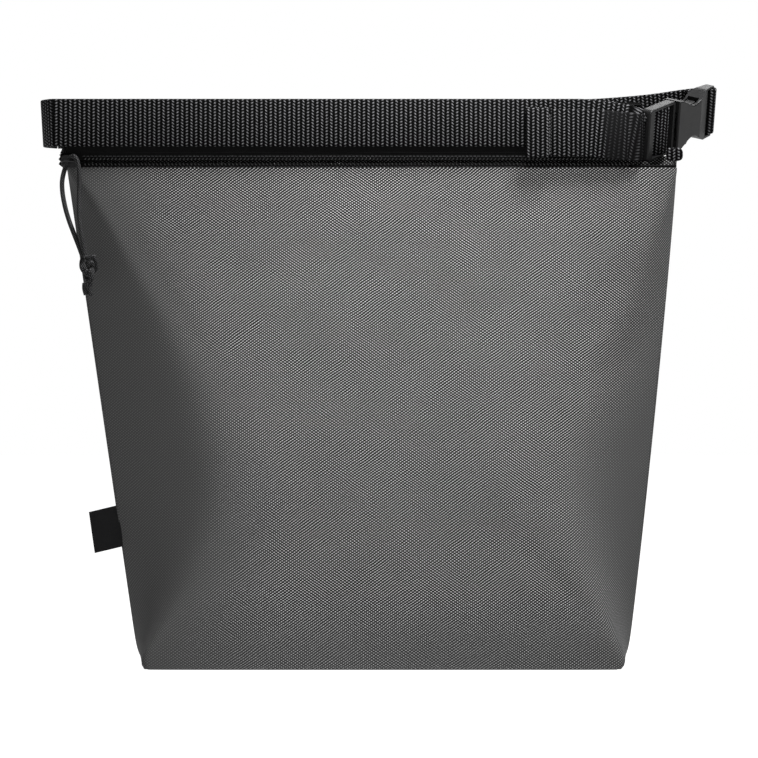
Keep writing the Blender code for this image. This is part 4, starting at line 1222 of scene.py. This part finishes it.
def cord_piece(name, node, route, material):
    """One stretch of the pull cord, with the path that it follows."""
    path = smooth_path(hung(route), 5)
    sideways = Vector((1, 0.3, 0)).normalized()
    stations = [(point, sideways) for point in path]
    tube = swept(name, stations, round_section(CORD / 2, 14), material, "zip_pull")
    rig.replaces(tube, node)
    return tube, path


def make_cords(material):
    """The pull cord's two strands, its cut ends and the wraps of its knot."""
    left = cord_piece("pull_strand_left", "pull_cord_left", LEFT_STRAND, material)
    right = cord_piece("pull_strand_right", "pull_cord_right", RIGHT_STRAND, material)
    ends = []
    for number, route in enumerate(TAILS, start=1):
        ends.append(cord_piece(f"pull_end_{number}", f"cord_tail_{number}", route, material)[0])
    knot = knot_wraps(material)
    for (tube, path), pieces in ((left, (*knot, *ends)), (right, knot)):
        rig.cord(
            tube, exit=path[0], length=path_length(path), diameter=CORD, far_end="knot",
            stiffness="limp", lay="hanging", path=path, with_pieces=pieces,
        )


def knot_wraps(material):
    """The knot: both strands passed round themselves side by side and drawn tight."""
    at = BAIL_AT + KNOT_HANG
    wraps = []
    for number, (size, forward) in enumerate(KNOT_WRAPS, start=1):
        stations = []
        for step in range(KNOT_STEPS + 1):
            angle = 2 * math.pi * step / KNOT_STEPS
            x = KNOT_WIDE * (math.sin(angle) + 2 * math.sin(2 * angle))
            y = KNOT_DEEP * math.sin(3 * angle) + forward
            z = KNOT_TALL * (math.cos(angle) - 2 * math.cos(2 * angle))
            z += KNOT_DRAWN_UP * max(z, 0) ** 2
            stations.append((at + Vector((x * size, y, z * size)) * MM, Vector((0, 1, 0))))
        wrap = swept(f"pull_knot_{number}", stations, round_section(CORD / 2, 12), material, "zip_pull")
        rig.replaces(wrap, "cord_knot")
        wraps.append(wrap)
    return wraps


def dress_hard_nodes(acetal, zinc):
    """The moulded and cast nodes stay, with finer materials."""
    for name in ("buckle_plug", "buckle_socket", "latch_arm_upper", "latch_arm_lower", "slider"):
        node = frame["nodes"][name]
        node.data.materials.clear()
        node.data.materials.append(zinc if name == "slider" else acetal)


# Studio

def make_camera(scene):
    """A level camera at the photograph's scale."""
    lens = bpy.data.cameras.new("camera")
    camera = bpy.data.objects.new("camera", lens)
    scene.collection.objects.link(camera)
    scene.camera = camera
    camera.location = CAMERA_AT
    camera.rotation_euler = (math.pi / 2, 0, 0)
    strap_distance = -CAMERA_AT.y + FRONT_WEB_Y
    lens.sensor_width = SENSOR
    lens.lens = PIXELS_PER_METRE * strap_distance / PICTURE * SENSOR
    lens.clip_end = 50


def make_lamps(scene):
    """A soft key light above, a pool of light on the middle of the front, and a rim light behind."""
    # Each lamp's name, kind, place, target, size in metres and power in watts
    for name, kind, at, target, size, power in (
        ("pool", "SPOT", (0.147, -0.856, 0.989), (0.02, -0.02, 0.175), 0.06, 62.0),
        ("key", "AREA", (0.296, -0.191, 1.08), (0, 0, 0.14), 0.25, 24.0),
        ("rim", "AREA", (0.5, 1.2, 1.2), (0, 0, 0.2), 0.8, 8.0),
    ):
        light = bpy.data.lights.new(name, kind)
        light.energy = power
        if kind == "SPOT":
            light.spot_size = math.radians(17.5)
            light.spot_blend = 1.0
            light.shadow_soft_size = size
        else:
            light.shape = "DISK"
            light.size = size
        lamp = bpy.data.objects.new(name, light)
        scene.collection.objects.link(lamp)
        lamp.location = at
        lamp.rotation_euler = (Vector(target) - Vector(at)).to_track_quat("-Z", "Y").to_euler()


def make_world(scene):
    """White near the horizon, where the camera looks, and darker overhead."""
    world = bpy.data.worlds.new("studio")
    scene.world = world
    world.use_nodes = True
    world.node_tree.nodes.clear()
    add = functools.partial(add_node, world.node_tree)
    height = add("SeparateXYZ", (add("TexCoord", output="Generated"),), 2)
    ramp = {"Value": height, "From Min": 0.10, "From Max": 0.20, "To Min": 1.0, "To Max": 0.03}
    sky = {"Color": hex_colour("ffffff"), "Strength": add("MapRange", ramp)}
    add("OutputWorld", {"Surface": add("Background", sky)})


def make_floor():
    """The floor, just under the base."""
    deselect()
    bpy.ops.mesh.primitive_grid_add(x_subdivisions=4, y_subdivisions=4, size=12, location=(0, 0, -0.0002))
    floor = bpy.context.object
    floor.name = "floor"
    floor.data.materials.append(white_floor())
    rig.stage(floor)


def main():
    scene = bpy.context.scene
    scene.view_settings.view_transform = "Standard"
    make_camera(scene)
    make_lamps(scene)
    make_world(scene)
    make_floor()
    make_cords(braided_cord())

    grey = woven_grey_oxford()
    wall_cloth("front_cloth", -1, FRONT_HEIGHT, grey, ("front_panel", "left_gusset"))
    wall_cloth("back_cloth", 1, FRONT_HEIGHT + BACK_RISE, grey, ("back_panel", "right_gusset"))
    base_cloth(grey)
    foams = ("front_foam", "back_foam", "left_foam", "right_foam", "base_foam")
    cup("foam_shell", FOAM_AT, FOAM, FRONT_HEIGHT - FOAM_MARGIN, foamed_polyethylene(), foams)
    cup("foil_bag", FOIL_AT, FOIL, FRONT_HEIGHT - FOIL_MARGIN, rolled_foil(), ("foil_liner",))

    black = woven_collar_cloth()
    thread = spun_thread()
    webbing = woven_webbing()
    collar_cloth(black)
    zip_tapes(woven_zip_tape(), thread)
    zip_teeth(drawn_nylon())
    soft_block("left_end_fold", "left_zip_end", black, 6, ripple=0.10)
    soft_block("right_end_fold", "right_zip_end", black, 8)
    soft_block("zip_tab_fold", "zip_end_tab", webbing, 3.2, lift=0.0016)
    make_strap(webbing)
    make_hem(webbing, thread)
    make_label(woven_label_tape())
    dress_hard_nodes(moulded_acetal(), painted_zinc())


def plain(bounds):
    return [list(corner) for corner in bounds]


cad_box = plain(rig.bounds())
main()
with open("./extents.json", "w") as sizes:
    json.dump({"cad": cad_box, "visual": plain(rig.bounds())}, sizes)
